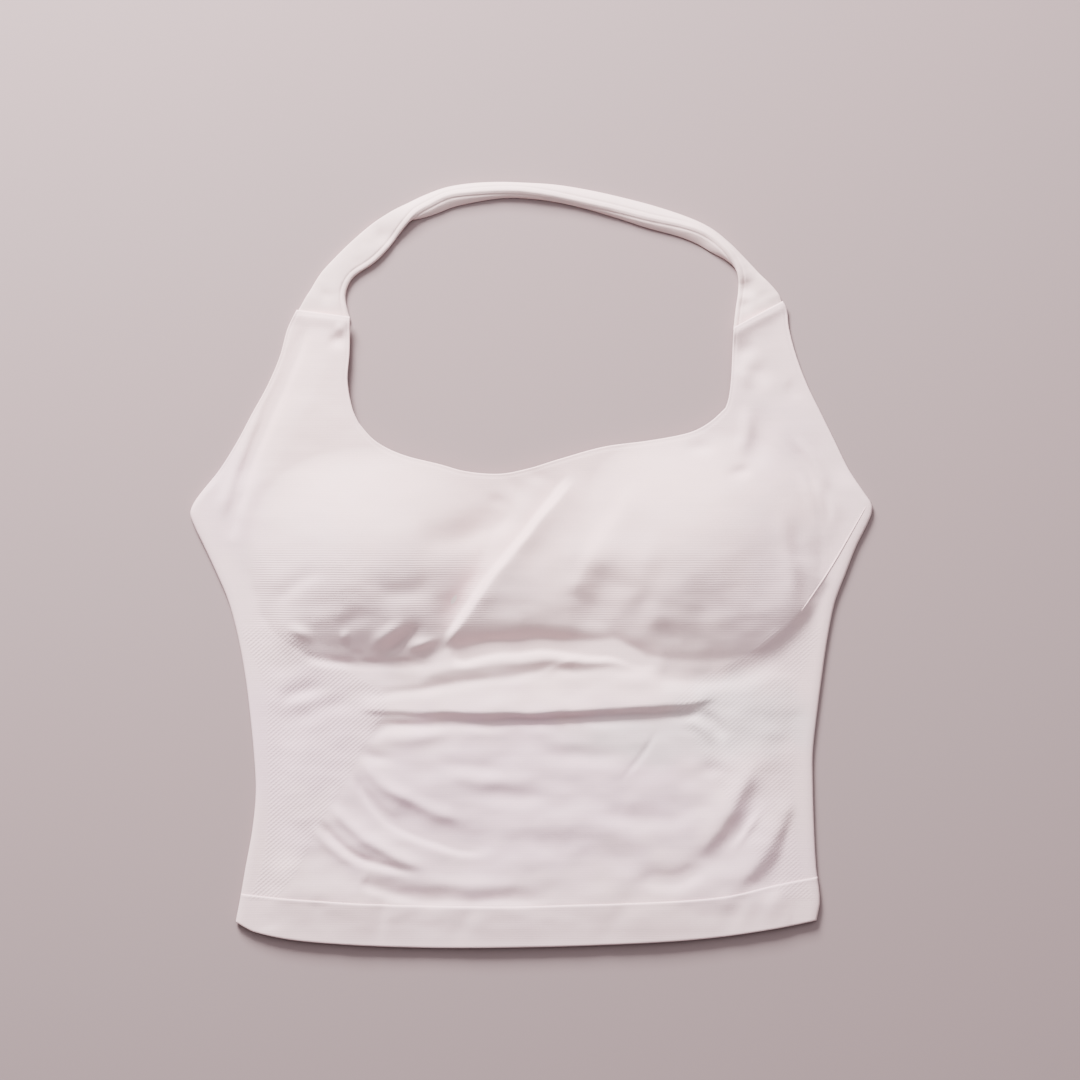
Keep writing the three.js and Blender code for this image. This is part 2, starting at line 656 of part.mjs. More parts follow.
function neckStrap() {
  const positions = [];
  const index = [];
  const stations = strapStations();
  const sections = stations.map(({ outer, ridge, spread }) => {
    const width = Math.hypot(ridge.x - outer.x, ridge.y - outer.y);
    const section = strapSection(width, spread);
    section.forEach((p) => {
      const place = mix(outer, ridge, p.x / width);
      positions.push(place.x, place.y, Math.max(p.y, 0));
    });
    return section;
  });
  const size = sections[0].length;
  for (let i = 0; i + 1 < sections.length; i += 1) {
    for (let k = 0; k < size; k += 1) {
      const a = i * size + k;
      const b = i * size + ((k + 1) % size);
      index.push(a, a + size, b + size, a, b + size, b);
    }
  }
  const last = (sections.length - 1) * size;
  THREE.ShapeUtils.triangulateShape(sections[0], []).forEach(([a, b, c]) => index.push(a, b, c));
  THREE.ShapeUtils.triangulateShape(sections.at(-1), []).forEach(([a, b, c]) => {
    index.push(last + a, last + c, last + b);
  });
  return closedGeometry(positions, index);
}

const knit = new THREE.MeshStandardMaterial({ color: KNIT_COLOUR, roughness: 0.85 });
const strapKnit = new THREE.MeshStandardMaterial({ color: STRAP_COLOUR, roughness: 0.8 });
const foam = new THREE.MeshStandardMaterial({ color: PAD_COLOUR, roughness: 0.95 });

function named(name, geometry, material) {
  const mesh = new THREE.Mesh(geometry, material.clone());
  mesh.name = name;
  return mesh;
}

const top = new THREE.Group();
top.add(named("front_panel", frontPanel(), knit));
top.add(named("front_hem", frontHem(), knit));
top.add(named("back_panel", backPanel(), knit));
top.add(named("back_hem", backHem(), knit));
top.add(named("neck_strap", neckStrap(), strapKnit));
for (const cup of CUPS) top.add(named(cup.name, pad(cup), foam));

export default top;
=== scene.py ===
# %% [markdown]
# # A halter neck top of seamless knit, laid flat
# The top is knitted in one tube, with two padded cups and a doubled strap that loops round the neck.
# Here it lies on a plain floor, front up, and the camera looks straight down on it.
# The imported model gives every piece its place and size. This lesson dresses those pieces in cloth.

# %% Load the frame
import json
import math

import bpy
import numpy as np
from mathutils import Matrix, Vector, noise

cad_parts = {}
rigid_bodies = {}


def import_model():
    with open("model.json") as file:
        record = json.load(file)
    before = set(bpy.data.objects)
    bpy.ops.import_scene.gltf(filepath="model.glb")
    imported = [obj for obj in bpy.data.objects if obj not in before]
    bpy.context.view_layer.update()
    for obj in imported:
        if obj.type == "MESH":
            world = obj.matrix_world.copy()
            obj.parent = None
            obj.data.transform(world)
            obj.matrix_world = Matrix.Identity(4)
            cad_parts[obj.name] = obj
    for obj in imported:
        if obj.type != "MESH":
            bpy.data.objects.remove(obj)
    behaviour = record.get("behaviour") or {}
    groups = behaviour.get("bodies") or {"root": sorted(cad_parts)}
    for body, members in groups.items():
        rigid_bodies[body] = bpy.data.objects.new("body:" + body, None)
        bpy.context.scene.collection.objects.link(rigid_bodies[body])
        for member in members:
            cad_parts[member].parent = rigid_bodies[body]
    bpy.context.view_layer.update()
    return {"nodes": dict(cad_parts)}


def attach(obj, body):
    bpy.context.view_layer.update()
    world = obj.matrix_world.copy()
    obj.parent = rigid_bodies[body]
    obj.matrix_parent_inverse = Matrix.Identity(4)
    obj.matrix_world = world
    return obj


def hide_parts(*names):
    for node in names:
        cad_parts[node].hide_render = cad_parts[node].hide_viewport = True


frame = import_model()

nodes = sorted(frame["nodes"])
print("pieces in the frame:", ", ".join(nodes))

# %% [markdown]
# ## Small tools
# Garment sizes are easiest to think of in millimetres, and Blender works in metres, so all the lengths
# below are millimetres until a mesh is made. A cut edge is described as a tailor would: a few measured
# places, with a smooth line through them.

# %% Units, blends and tables
MM = 0.001


def blend(a, b, t):
    return a + (b - a) * t


def soft_step(low, high, value):
    t = np.clip((value - low) / (high - low), 0, 1)
    return t * t * (3 - 2 * t)


def table(columns, rows):
    """A small table: its columns by name, each an array."""
    return {name: np.array([row[i] for row in rows], float) for i, name in enumerate(columns.split())}


def between(rows, along, key, at):
    """A smooth value between a table's rows, from the rows on both sides and their slopes."""
    x, y = rows[along], rows[key]
    last = len(x) - 1
    order = np.arange(last + 1)
    low, high = np.maximum(order - 1, 0), np.minimum(order + 1, last)
    slope = (y[high] - y[low]) / (x[high] - x[low])
    i = np.clip(np.searchsorted(x, at, side="right") - 1, 0, last - 1)
    step = x[i + 1] - x[i]
    t = np.clip((at - x[i]) / step, 0, 1)
    rise = t * t * (3 - 2 * t)
    return blend(y[i], y[i + 1], rise) + t * (1 - t) * step * ((1 - t) * slope[i] - t * slope[i + 1])


print("half way from 0 to 10 mm, smoothly: %.1f mm" % (10 * soft_step(0, 10, 5)))

# %% [markdown]
# ## Lines for the neckline, seams and folds
# A maker draws a neckline from a few measured places. These helpers run a smooth line through such
# places, find spots along it, and tell how far any place on the cloth is from it. A Blender curve could
# draw the line, but the folds further down need those distances too.

# %% Lines
TINY = 1e-6


def smooth_line(rows, steps=24):
    """Points close together on a smooth line through a table's places."""
    p = np.stack([rows["x"], rows["y"]], axis=1)
    p = np.vstack([p[:1], p, p[-1:]])
    t = np.linspace(0, 1, steps, endpoint=False)[:, None]
    line = []
    for a, b, c, d in zip(p, p[1:], p[2:], p[3:]):
        start, end = (c - a) / 2, (d - b) / 2
        curve = (2 * b - 2 * c + start + end) * t**3
        curve = curve + (3 * c - 3 * b - 2 * start - end) * t**2
        line.append(curve + start * t + b)
    return np.vstack([*line, p[-1:]])


def at_share(line, share):
    """The places at the given shares of a line's length."""
    lengths = np.concatenate([[0], np.cumsum(np.hypot(*np.diff(line, axis=0).T))])
    return np.stack([np.interp(share * lengths[-1], lengths, line[:, k]) for k in (0, 1)], axis=-1)


def near_line(x, y, line):
    """How far places are from a line, which side they lean to (1 is its left), and the share along it."""
    away, lean, along = np.full(x.shape, np.inf), np.zeros(x.shape), np.zeros(x.shape)
    for i, ((ax, ay), (bx, by)) in enumerate(zip(line, line[1:])):
        dx, dy = bx - ax, by - ay
        length = math.hypot(dx, dy)
        t = np.clip(((x - ax) * dx + (y - ay) * dy) / length**2, 0, 1)
        off_x, off_y = x - ax - t * dx, y - ay - t * dy
        off = np.hypot(off_x, off_y)
        closer = off < away
        side = (dx * off_y - dy * off_x) / (length * np.maximum(off, TINY))
        away = np.where(closer, off, away)
        lean = np.where(closer, side, lean)
        along = np.where(closer, (i + t) / (len(line) - 1), along)
    return away, lean, along


two_places = table("x y", [(0, 0), (10, 5)])
print("points on a smooth line through two places:", len(smooth_line(two_places)))

# %% [markdown]
# ## Knit is never quite even
# Even a flat knit lies in slight hills and hollows. A smooth random field gives them, and it gives the
# same ones each time. Broad and fine waves are added up, each with its height, size and layer of the field.

# %% Unevenness
def unevenness(x, y, size, layer):
    """Smooth hills and hollows from about -1 to 1, each a given size across."""
    places = np.stack([x, y], axis=-1).reshape(-1, 2) / size
    return np.reshape([noise.noise(Vector((a, b, layer))) for a, b in places], np.shape(x))


def waves(x, y, rows):
    """Broad and fine unevenness together."""
    return sum(row["height"] * unevenness(x, y, row["size"], row["layer"]) for row in rows)


print("unevenness at three places:", unevenness(np.array([5, 25, 45]), np.zeros(3), 21, 5.9).round(2))

# %% [markdown]
# ## The outline
# These tables hold the outline of the top as it lies: the sides, the hem, the line where the welt
# begins, and the neckline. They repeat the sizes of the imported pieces, so the cloth fits them.

# %% Outline tables
FRONT_CLOTH = 1.5
BACK_CLOTH = 1.2
WELT_CLOTH = 1.8
STRAP_CLOTH = 1.3
LAYER_GAP = 0.3

SIDES = table("y left right", [
    (-196, -157.4, 150.2), (-189, -156.4, 151.1), (-178, -154.3, 152.9), (-160, -151.2, 151.0),
    (-140, -147.6, 149.9), (-120, -145.8, 149.3), (-100, -146.8, 149.2), (-80, -148.7, 151.3),
    (-60, -151.2, 153.9), (-40, -154.8, 156.8), (-20, -160.1, 160.9), (-5, -166.4, 166.5),
    (10, -173.4, 172.4), (20, -178.2, 177.4), (27, -180.5, 180.3), (32, -179.0, 180.3),
    (38, -174.9, 176.4), (50, -165.2, 168.4), (65, -155.8, 161.0), (80, -147.8, 153.6),
    (95, -139.6, 146.3), (110, -133.2, 140.6), (125, -129.0, 136.6), (135, -124.1, 135.4),
    (140, -122.0, 133.0),
])
HEM_EDGE = table("x y", [
    (-156.4, -189.2), (-146.0, -194.6), (-119.0, -199.5), (-61.5, -202.6), (0.0, -202.4),
    (63.0, -200.1), (98.0, -197.3), (130.0, -192.6), (151.0, -188.4),
])
WELT_LINE = table("x y", [
    (-153.6, -174.1), (-132.6, -176.2), (-77.4, -179.5), (-15.4, -180.6), (28.6, -179.5),
    (74.7, -177.8), (104.4, -175.0), (131.9, -168.8), (151.5, -165.1),
])
NECK_BOTTOM = table("x y", [
    (-91.2, 75.0), (-84.3, 67.0), (-76.4, 61.7), (-65.2, 57.2), (-48.3, 53.0), (-34.0, 49.2),
    (-16.5, 48.0), (-0.6, 51.0), (15.3, 55.9), (38.1, 62.2), (61.4, 65.4), (78.4, 68.4),
    (87.9, 71.4), (95.9, 76.4), (102.8, 82.9),
])
NECK_LEFT = table("x y", [(-91.2, 75.0), (-94.6, 83.0), (-97.0, 97.0), (-96.0, 112.0), (-95.7, 131.0)])
NECK_RIGHT = table("x y", [(102.8, 82.9), (104.6, 89.0), (105.9, 101.0), (107.0, 125.3)])
LEFT_SEAM = {"outer": (-124.1, 134.9), "inner": (-95.7, 131.0)}
RIGHT_SEAM = {"outer": (133.2, 139.5), "inner": (107.0, 125.3)}
LEFT_SPLIT = {"y": 72, "across": 0.2}
RIGHT_SPLIT = {"y": 83, "across": 0.838}
BACK_TOP = {"at_sides": 31, "dip": 10, "half_width": 178}
BACK_INSET = 4.8


def left_side(y):
    return between(SIDES, "y", "left", y)


def right_side(y):
    return between(SIDES, "y", "right", y)


def from_side(x, y):
    return np.minimum(x - left_side(y), right_side(y) - x)


def back_top(x):
    return BACK_TOP["at_sides"] - BACK_TOP["dip"] * (1 - (x / BACK_TOP["half_width"]) ** 2)


print("widest, underarm to underarm: %.0f mm" % (SIDES["right"].max() - SIDES["left"].min()))

# %% [markdown]
# ## The round forms under the cloth
# Two pads round the bust out, and the cloth bridges the hollow between them. A squared oval with a
# smooth fall describes each one. A sculpted mesh could do this too, but a formula keeps left and right
# cups alike and lets one number change how full they are.

# %% Cups and the cloth between them
CUPS = [
    {"node": "left_pad", "x": -84, "y": 3, "half_width": 66, "up": 59, "down": 55, "rise": 17},
    {"node": "right_pad", "x": 88, "y": 9, "half_width": 66, "up": 62, "down": 60, "rise": 17},
]
BRIDGE = {"x": 0, "y": -6, "half_width": 66, "up": 60, "down": 44, "rise": 7}
CUP_SQUARENESS = 2.4
CUP_FALL = {"up": 1.6, "down": 1.25}


def share_out(form, x, y):
    """How far a place is from a form's middle, as a share of the way to its edge."""
    sideways = np.abs(x - form["x"]) / form["half_width"]
    lengthways = np.abs(y - form["y"]) / np.where(y > form["y"], form["up"], form["down"])
    return (sideways**CUP_SQUARENESS + lengthways**CUP_SQUARENESS) ** (1 / CUP_SQUARENESS)


def round_form(form, x, y):
    inside = np.maximum(0, 1 - share_out(form, x, y) ** 2)
    upward = soft_step(-form["down"] / 2, form["up"] / 2, y - form["y"])
    return form["rise"] * inside ** blend(CUP_FALL["down"], CUP_FALL["up"], upward)


def body_form(x, y):
    cups = np.maximum(round_form(CUPS[0], x, y), round_form(CUPS[1], x, y))
    return np.hypot(cups, round_form(BRIDGE, x, y))


print("the cups rise %d and %d mm" % tuple(cup["rise"] for cup in CUPS))

# %% [markdown]
# ## Folds, placed one by one
# Cloth that is laid down keeps a few clear folds: one that runs up between the cups, a roll under the
# bust, and bowls and dimples over the belly. A cloth simulation would put them anywhere, so each is
# placed one by one: a line through three places, with its height at each.
#
# The next columns are the widths of its left and right flanks. A narrow flank beside a wide one gives
# the crisp edge of a real fold. Then come how much wider it gets along the way, and how rounded its crest
# is: 2 is a soft swell, and nearer to 1 is a crease.

# %% The table of folds
FOLD_COLUMNS = "x0 y0 h0 x1 y1 h1 x2 y2 h2 left right widen round".split()
FOLDS = [
    ("centre ridge", -46.5, -45, 2.4, -13.3, 1.9, 3.2, 25, 46, 1.6, 1.3, 8, 1, 1.6),
    ("centre trough", -49, -42, -1.8, -15.6, 4.0, -3.0, 21.5, 49.5, -1.8, 10, 1.3, 1, 1.8),
    ("left underbust", -122, -46, -0.7, -98, -52.5, -1.9, -50, -52, -3.9, 2.8, 2.0, 1, 1.7),
    ("left cup wedge", -82, -52, -2.2, -67.5, -40.5, -2.8, -54, -29.5, -1.0, 2.8, 2.8, 1.3, 1.7),
    ("left cup streak", -105, -38, -0.6, -95.5, -29.5, -1.0, -83.5, -25, -0.6, 3.8, 3.8, 1.2, 2),
    ("left cup blot", -98, -45.5, -0.6, -92, -47, -0.9, -85, -47.2, -0.6, 2.6, 2.6, 1, 2),
    ("left cup thin lobe", -95.5, -32.5, 0.9, -98, -37.5, 1.2, -99.5, -41.5, 0.6, 1.9, 1.9, 1, 2),
    ("left cup lobe", -86, -46, 1.9, -75.5, -36.5, 2.0, -62, -26, 0.7, 3.4, 3.0, 1.2, 2),
    ("left cup low lobe", -69, -45, 2.0, -57.5, -42, 2.4, -46, -38, 1.0, 2.8, 2.4, 1, 1.8),
    ("left cup corner lobe", -129, -32, 1.4, -122, -36, 1.8, -112, -38.5, 1.0, 3.2, 2.6, 1, 2),
    ("left cup crease", -106.5, -2, -0.5, -125.5, -11, -0.9, -137.5, -26, -0.6, 4, 5, 1, 2),
    ("left cup slack", -86, -18.5, -0.9, -66, -14.5, -1.7, -46, -10, -0.9, 7, 6, 1, 2),
    ("left cup high slack", -62, 14, -0.9, -33, 16, -2.5, -6, 34, -1.7, 9, 7, 1, 2),
    ("neckline slack", -10, 49, -0.9, 2, 46.5, -1.2, 13, 41, -0.8, 4, 4, 1, 2),
    ("neckline dimple", -25, 37.5, -0.6, -17, 33, -1.0, -9.5, 30, -0.6, 3, 3, 1, 2),
    ("right underbust", -44, -52, -5.0, 6, -43.2, -8, 70, -55, -4.0, 7.5, 2.8, 1, 1.6),
    ("right underbust end", 60, -55, -2.0, 104, -60, -1.6, 146, -38, -0.6, 7, 5, 1, 2),
    ("right cup edge", 58, 44, 1.0, 36, 8, 1.8, 22, -18, 1.0, 9, 5, 1, 2),
    ("right cup fold", 44, 2, -1.0, 36, -18, -2.4, 28, -40, -1.6, 12, 10, 1, 2),
    ("right cup hollow", 46, -20, -0.7, 58, -24, -1.1, 70, -23, -0.7, 8, 7, 1, 2),
    ("right cup streak", 68, -26, -0.9, 73, -38, -1.2, 78, -50, -0.8, 5, 5, 1, 2),
    ("right cup upright streak", 84, -4, -0.5, 89, -20, -0.8, 90, -38, -0.5, 7, 7, 1, 2),
    ("right cup blot", 70, -36, -0.7, 84, -39, -1.2, 100, -38, -0.6, 8, 6, 1, 2),
    ("right cup low blot", 84, -44, -0.7, 104, -49, -1.2, 124, -44, -0.6, 8, 6, 1, 2),
    ("right cup lump", 56, -18, 0.7, 65, -27, 1.0, 71, -36, 0.6, 5, 5, 1, 2),
    ("right cup side light", 128, 30, 0.5, 136, 4, 0.9, 138, -24, 0.5, 5, 5, 1, 2),
    ("right cup side dark", 135, 26, -0.5, 143, 0, -0.9, 147, -26, -0.5, 5, 5, 1, 2),
    ("upper band", -64, -59.5, 0.7, 0, -50.6, 1.4, 66, -53.2, 0.7, 3.8, 3, 1, 1.9),
    ("band groove", -88, -70, -0.9, -32, -62, -1.5, 12, -55.6, -0.7, 3, 3, 1, 1.9),
    ("band low groove", 0, -56.8, -0.6, 38, -55.6, -1.1, 72, -57.4, -0.6, 3.4, 3.4, 1, 2),
    ("thin diagonal", 2, -60.5, 0.35, 18, -51.5, 0.5, 35, -42, 0.4, 1.6, 2.2, 1, 1.9),
    ("roll", -94, -76.5, 1.0, 7.5, -77.6, 3.2, 101, -70.8, 1.4, 9, 1.8, 1, 1.7),
    ("roll groove", -82, -84.6, -2.0, 9, -81.9, -3.1, 93, -77.6, -2.7, 1.7, 3.2, 1, 1.6),
    ("roll groove start", -68, -84.2, -0.9, -79, -87, -1.2, -85, -96, -0.5, 2.8, 3.6, 1, 2),
    ("roll end", 84, -78.6, -1.4, 97, -84.5, -1.7, 102, -101, -0.7, 3.4, 4, 1, 1.9),
    ("belly corner", 77, -82.5, 1.0, 90, -86.5, 1.5, 95, -99, 0.9, 3.4, 3.4, 1, 2),
    ("belly corner crease", 84, -107.5, -0.7, 95, -108.5, -1.1, 106, -107, -0.6, 4, 3.6, 1, 2),
    ("left waist trough", -137, -76, -0.7, -123, -68, -1.4, -106, -65, -0.9, 4, 3.2, 1, 2),
    ("left waist dimple", -130, -87.5, -0.4, -112, -76, -0.7, -90, -71, -0.5, 4.5, 4.5, 1, 2),
    ("left belly crease", -92, -98, -0.8, -81, -102.5, -1.3, -67, -104, -0.6, 3.4, 3.0, 1, 1.9),
    ("bowl upper ridge", -91, -102, 1.2, -67, -123.5, 1.9, -30, -136, 1.0, 4, 3.6, 1, 1.9),
    ("bowl low trough", -93.5, -109, -1.4, -71, -138, -2.5, -20, -154, -1.5, 3.6, 1.9, 1, 1.6),
    ("bowl rim", -107, -124, 1.2, -86, -146, 2.2, -50, -164, 1.2, 3.6, 3.2, 1.1, 1.9),
    ("left hem low crease", -111, -134, -1.2, -95.5, -152.5, -2.2, -58, -164.5, -1.4, 2.4, 2.0, 1, 1.6),
    ("left hem lobe", -116, -136, 0.8, -105, -150, 1.3, -84, -160, 0.7, 3, 3, 1, 2),
    ("left low ridge", -88, -157, 0.7, -52, -168.5, 1.1, 0, -168, 0.6, 4, 4, 1, 2),
    ("hem trough", -91, -166, -1.0, -57, -177, -1.7, 15, -176, -0.9, 4.5, 2.6, 1, 2),
    ("belly thin line", 68, -86, -0.4, 58.5, -101, -0.6, 47, -116, -0.4, 1.5, 1.7, 1, 2),
    ("belly dimple", 34, -129, -0.8, 62, -134.5, -1.7, 90, -131, -0.8, 6.4, 5.4, 1, 2),
    ("belly side dimple", 64, -121, -0.6, 84, -127, -1.1, 100, -124, -0.5, 6, 5.4, 1, 2),
    ("belly soft ridge", -24, -134, 0.5, 20, -138, 0.9, 60, -143, 0.5, 7, 7, 1, 2),
    ("belly low hollow", -12, -142, -0.5, 8, -148, -0.9, 28, -151, -0.5, 6, 6, 1, 2),
    ("right ridge", 119, -102, 1.4, 106, -128, 2.6, 86, -154, 1.5, 4.8, 8, 1.1, 1.9),
    ("right valley", 120, -110, -0.8, 110, -140, -1.5, 80, -164, -1.4, 6, 5, 1.3, 2),
    ("right valley end", 52, -163, -0.9, 74, -167, -2.4, 96, -157, -1.2, 5.5, 4.5, 1, 2),
    ("right thin ridge", 124, -127, 0.8, 115, -140, 1.2, 106, -153, 0.7, 1.9, 1.9, 1, 1.8),
    ("right low ridge", 137, -118, 0.9, 127, -146, 1.7, 104, -172, 1.0, 4.2, 7, 1, 1.9),
    ("right low valley", 138, -134, -0.9, 130, -158, -1.7, 110, -175, -1.3, 7, 3.8, 1, 1.9),
    ("left wing trough", -117, 128, -1.4, -142.5, 71, -2.8, -161, 12, -2.6, 3.2, 3.2, 1.2, 1.8),
    ("left wing ridge", -126, 112, 0.6, -149, 66, 1.1, -166, 26, 0.6, 3.4, 3.4, 1.2, 2),
    ("left wing pucker", -109, 119.5, -0.9, -102.5, 118.5, -1.5, -95, 121, -1.2, 3.6, 3.8, 1, 2),
    ("left wing light", -105, 125.5, 0.5, -101, 125, 0.9, -96, 124.5, 0.7, 2.6, 2.6, 1, 2),
    ("right wing pucker", 105, 110, -1.0, 113, 113, -1.5, 122, 116, -0.9, 4.8, 4.8, 1, 2),
    ("right wing dimple", 113, 108, -0.8, 121, 101.5, -1.5, 128, 93, -0.8, 5.4, 5.4, 1, 2),
    ("right wing light", 110, 107, 0.7, 113, 99, 1.1, 117, 90, 0.6, 3.8, 3.8, 1, 2),
    ("right wing edge dimple", 136, 99, -0.6, 140, 93, -1.0, 143, 86, -0.5, 3.8, 3.8, 1, 2),
    ("right wing trough", 119, 88, -0.4, 121, 68, -1.1, 112, 48, -1.1, 7, 6, 1, 2),
    ("right wing lit ridge", 112, 86, 0.7, 113.5, 70, 1.3, 107, 54, 0.7, 3.6, 3.6, 1, 2),
    ("right trough end", 118, 52, -1.0, 110, 48.5, -1.5, 100, 47.5, -0.8, 3.2, 2.8, 1, 2),
    ("right wing fan", 132, 69, -0.6, 145, 51, -1.0, 152, 36, -0.5, 2.6, 2.6, 1, 2),
    ("right wing fan light", 138, 71, 0.5, 151, 52, 0.9, 158, 38, 0.5, 2.6, 2.4, 1, 2),
    ("right wing low fan", 140, 50, 0.5, 147, 37, 0.9, 150, 22, 0.5, 2.4, 2.4, 1, 2),
    ("right wing low dark", 151, 44, -0.5, 156, 32, -0.9, 156, 18, -0.5, 2.6, 2.4, 1, 2),
    ("right neck trough", 76, 59.5, -0.8, 89, 61.5, -1.4, 102, 63, -0.8, 4, 3.4, 1, 2),
    ("hem crease", -77, -174, -0.5, -80, -190, -1.2, -83, -214, -1.0, 3.6, 5.5, 1, 2),
    ("hem left crease", -116, -174, -0.3, -108, -190, -0.9, -101, -214, -0.7, 5, 5, 1, 2),
    ("hem corner crease", -152, -184, -0.6, -140, -189, -1.1, -126, -190, -0.6, 3.4, 3.4, 1, 2),
    ("hem right crease", 117, -170, -0.5, 107, -187, -1.3, 96, -210, -1.0, 5, 6, 1, 2),
    ("hem right fold", 131, -163, -0.5, 122, -180, -1.1, 115, -202, -0.7, 4.4, 5.5, 1, 2),
    ("hem middle crease", 58, -174, -0.4, 44, -190, -1.0, 28, -212, -0.8, 5.5, 5.5, 1, 2),
    ("hem small crease", -26, -176, -0.3, -36, -191, -0.8, -45, -212, -0.6, 5, 5, 1, 2),
    ("hem right corner", 145, -162, -0.4, 149, -177, -0.8, 152, -196, -0.5, 4, 4, 1, 2),
    ("belly ripple", -54, -103, -0.5, -34, -106.5, -0.9, -12, -108, -0.5, 4, 3.6, 1, 2),
    ("belly light ripple", -46, -112, 0.5, -20, -114, 0.9, 8, -113, 0.5, 4, 3.6, 1, 2),
    ("belly low ripple", -44, -119, -0.5, -16, -122.5, -1.0, 14, -122, -0.5, 4.4, 4, 1, 2),
    ("belly high ripple", 0, -96, -0.5, 26, -101, -1.0, 52, -99, -0.4, 5, 5, 1, 2),
    ("left belly start", -82, -93, 0.8, -60, -90.5, 1.3, -36, -90, 0.5, 4, 4, 1, 2),
    ("hem far left crease", -62, -176, -0.3, -58, -191, -0.6, -52, -212, -0.5, 6, 6, 1, 2),
    ("hem centre crease", 0, -176, -0.3, 8, -191, -0.6, 16, -212, -0.5, 7, 7, 1, 2),
    ("left cup foot", -136, -22, 1.0, -120, -46, 1.2, -96, -58, 0.4, 10, 8, 1, 2),
    ("right cup foot", 92, -54, 0.9, 134, -32, 3.3, 157, 4, 1.2, 18, 6, 1, 2),
    ("bowl hollow", -74, -127, -0.7, -50, -142, -1.6, -14, -150, -1.0, 10, 4, 1, 2),
    ("between the cups", -42, -34, -0.9, -24, 12, -3.3, 0, 48, -1.9, 16, 8, 1, 2),
    ("left of the ridge", -46, -34, -0.6, -40, -20, -1.2, -29, -4, -0.6, 4.5, 5, 1, 2),
    ("right cup brow", 10, 2, 0.8, 40, 6, 2.2, 72, 0, 0.9, 12, 16, 1, 2),
]
fold_heights = [height for fold in FOLDS for height in (fold[3], fold[6], fold[9])]
print("%d folds, from %.1f to %.1f mm" % (len(FOLDS), min(fold_heights), max(fold_heights)))

# %% [markdown]
# ## From a row of the table to a fold
# Each row becomes a bent line that fades out at both ends. The height falls away on both sides of it, and
# all the folds are added up, so that they run into one another as they do in soft cloth.

# %% The height of the folds
FOLD_STEPS = 14
FOLD_REACH = 3
FOLD_FADE = 13
WANDER = {"by": 1.2, "size": 17, "layer_x": 3.7, "layer_y": 8.1}


def fold_line(fold):
    """A smooth line through a fold's three places."""
    start, middle, end = (np.array([fold["x" + k], fold["y" + k]]) for k in "012")
    t = np.linspace(0, 1, FOLD_STEPS + 1)[:, None]
    bend = 2 * middle - (start + end) / 2
    return blend(blend(start, bend, t), blend(bend, end, t), t)


def fold_shape(fold, t):
    """A fold's height at each share of its length."""
    height = fold["h0"] * (1 - t) * (1 - 2 * t)
    height = height + 4 * fold["h1"] * t * (1 - t)
    height = height + fold["h2"] * t * (2 * t - 1)
    length = math.hypot(fold["x2"] - fold["x0"], fold["y2"] - fold["y0"])
    fade = min(FOLD_FADE / length, 0.5)
    ends = soft_step(0, fade, t) * soft_step(0, fade, 1 - t)
    return height * ends


def fold_height(x, y):
    """All the folds together. Their lines wander a little, as cloth does."""
    bent_x = x + WANDER["by"] * unevenness(x, y, WANDER["size"], WANDER["layer_x"])
    bent_y = y + WANDER["by"] * unevenness(x, y, WANDER["size"], WANDER["layer_y"])
    total = np.zeros(x.shape)
    for _, *values in FOLDS:
        fold = dict(zip(FOLD_COLUMNS, values))
        line = fold_line(fold)
        reach = FOLD_REACH * max(fold["left"], fold["right"]) * max(1, fold["widen"])
        near = (x > line[:, 0].min() - reach) & (x < line[:, 0].max() + reach)
        near &= (y > line[:, 1].min() - reach) & (y < line[:, 1].max() + reach)
        if near.any():
            away, lean, t = near_line(bent_x[near], bent_y[near], line)
            width = blend(fold["right"], fold["left"], (lean + 1) / 2) * blend(1, fold["widen"], t)
            total[near] += fold_shape(fold, t) * np.exp(-((away / width) ** fold["round"]))
    return total


print("the folds at one place of the roll: %.1f mm" % fold_height(np.array([7.5]), np.array([-77.6]))[0])

# %% [markdown]
# ## The strap's two seams
# The upper end of each halter point is turned in and stitched over the strap's end. Several layers lie
# on one another there, so the front swells a little just below the seam.

# %% Seam ledge
SEAM_LEDGE = {"rise": 1.4, "below": 2.4, "width": 4.4}


def seam_ledge(x, y):
    """How much the turned-in ends lift the front, along the left and the right seam."""
    swell = 0
    for seam in (LEFT_SEAM, RIGHT_SEAM):
        (ax, ay), (bx, by) = seam["outer"], seam["inner"]
        level = ay + (by - ay) * (x - ax) / (bx - ax)
        from_crest = (level - y - SEAM_LEDGE["below"]) / SEAM_LEDGE["width"]
        same_side = (x < 0) == (ax < 0)
        swell = swell + np.exp(-(from_crest**2)) * same_side
    return SEAM_LEDGE["rise"] * swell


print("swell at the seams: %.1f mm" % SEAM_LEDGE["rise"])

# %% [markdown]
# ## How high the cloth lies
# The front rests on the back, comes down to the floor at the side folds and past the back's top edge,
# and holds a little air. The cups, the folds and the unevenness lift it from there. Over the bust the
# knit is stretched, so it lies smoother.

# %% Height of the front's underside
STEP_DOWN = {"from": 9, "to": 24}
SIDE_ROUND = 4.6
LOFT = {"height": 3.6, "reach": 30}
SLACK = [
    {"height": 1.0, "size": 44, "layer": 1.3},
    {"height": 1.0, "size": 21, "layer": 5.9},
    {"height": 0.6, "size": 10, "layer": 2.2},
    {"height": 0.16, "size": 5.5, "layer": 7.4},
]
SLACK_STRETCH = 1.7
TIGHT_BUST = {"from": -30, "to": 15, "slack": 0.35}
SOFT_FLOOR = 0.35


def side_fold(x, y):
    """0 at the side folds, where the cloth turns under, and 1 from a few millimetres in."""
    share = np.clip(from_side(x, y) / SIDE_ROUND, 0, 1)
    return np.sqrt(1 - (1 - share) ** 2)


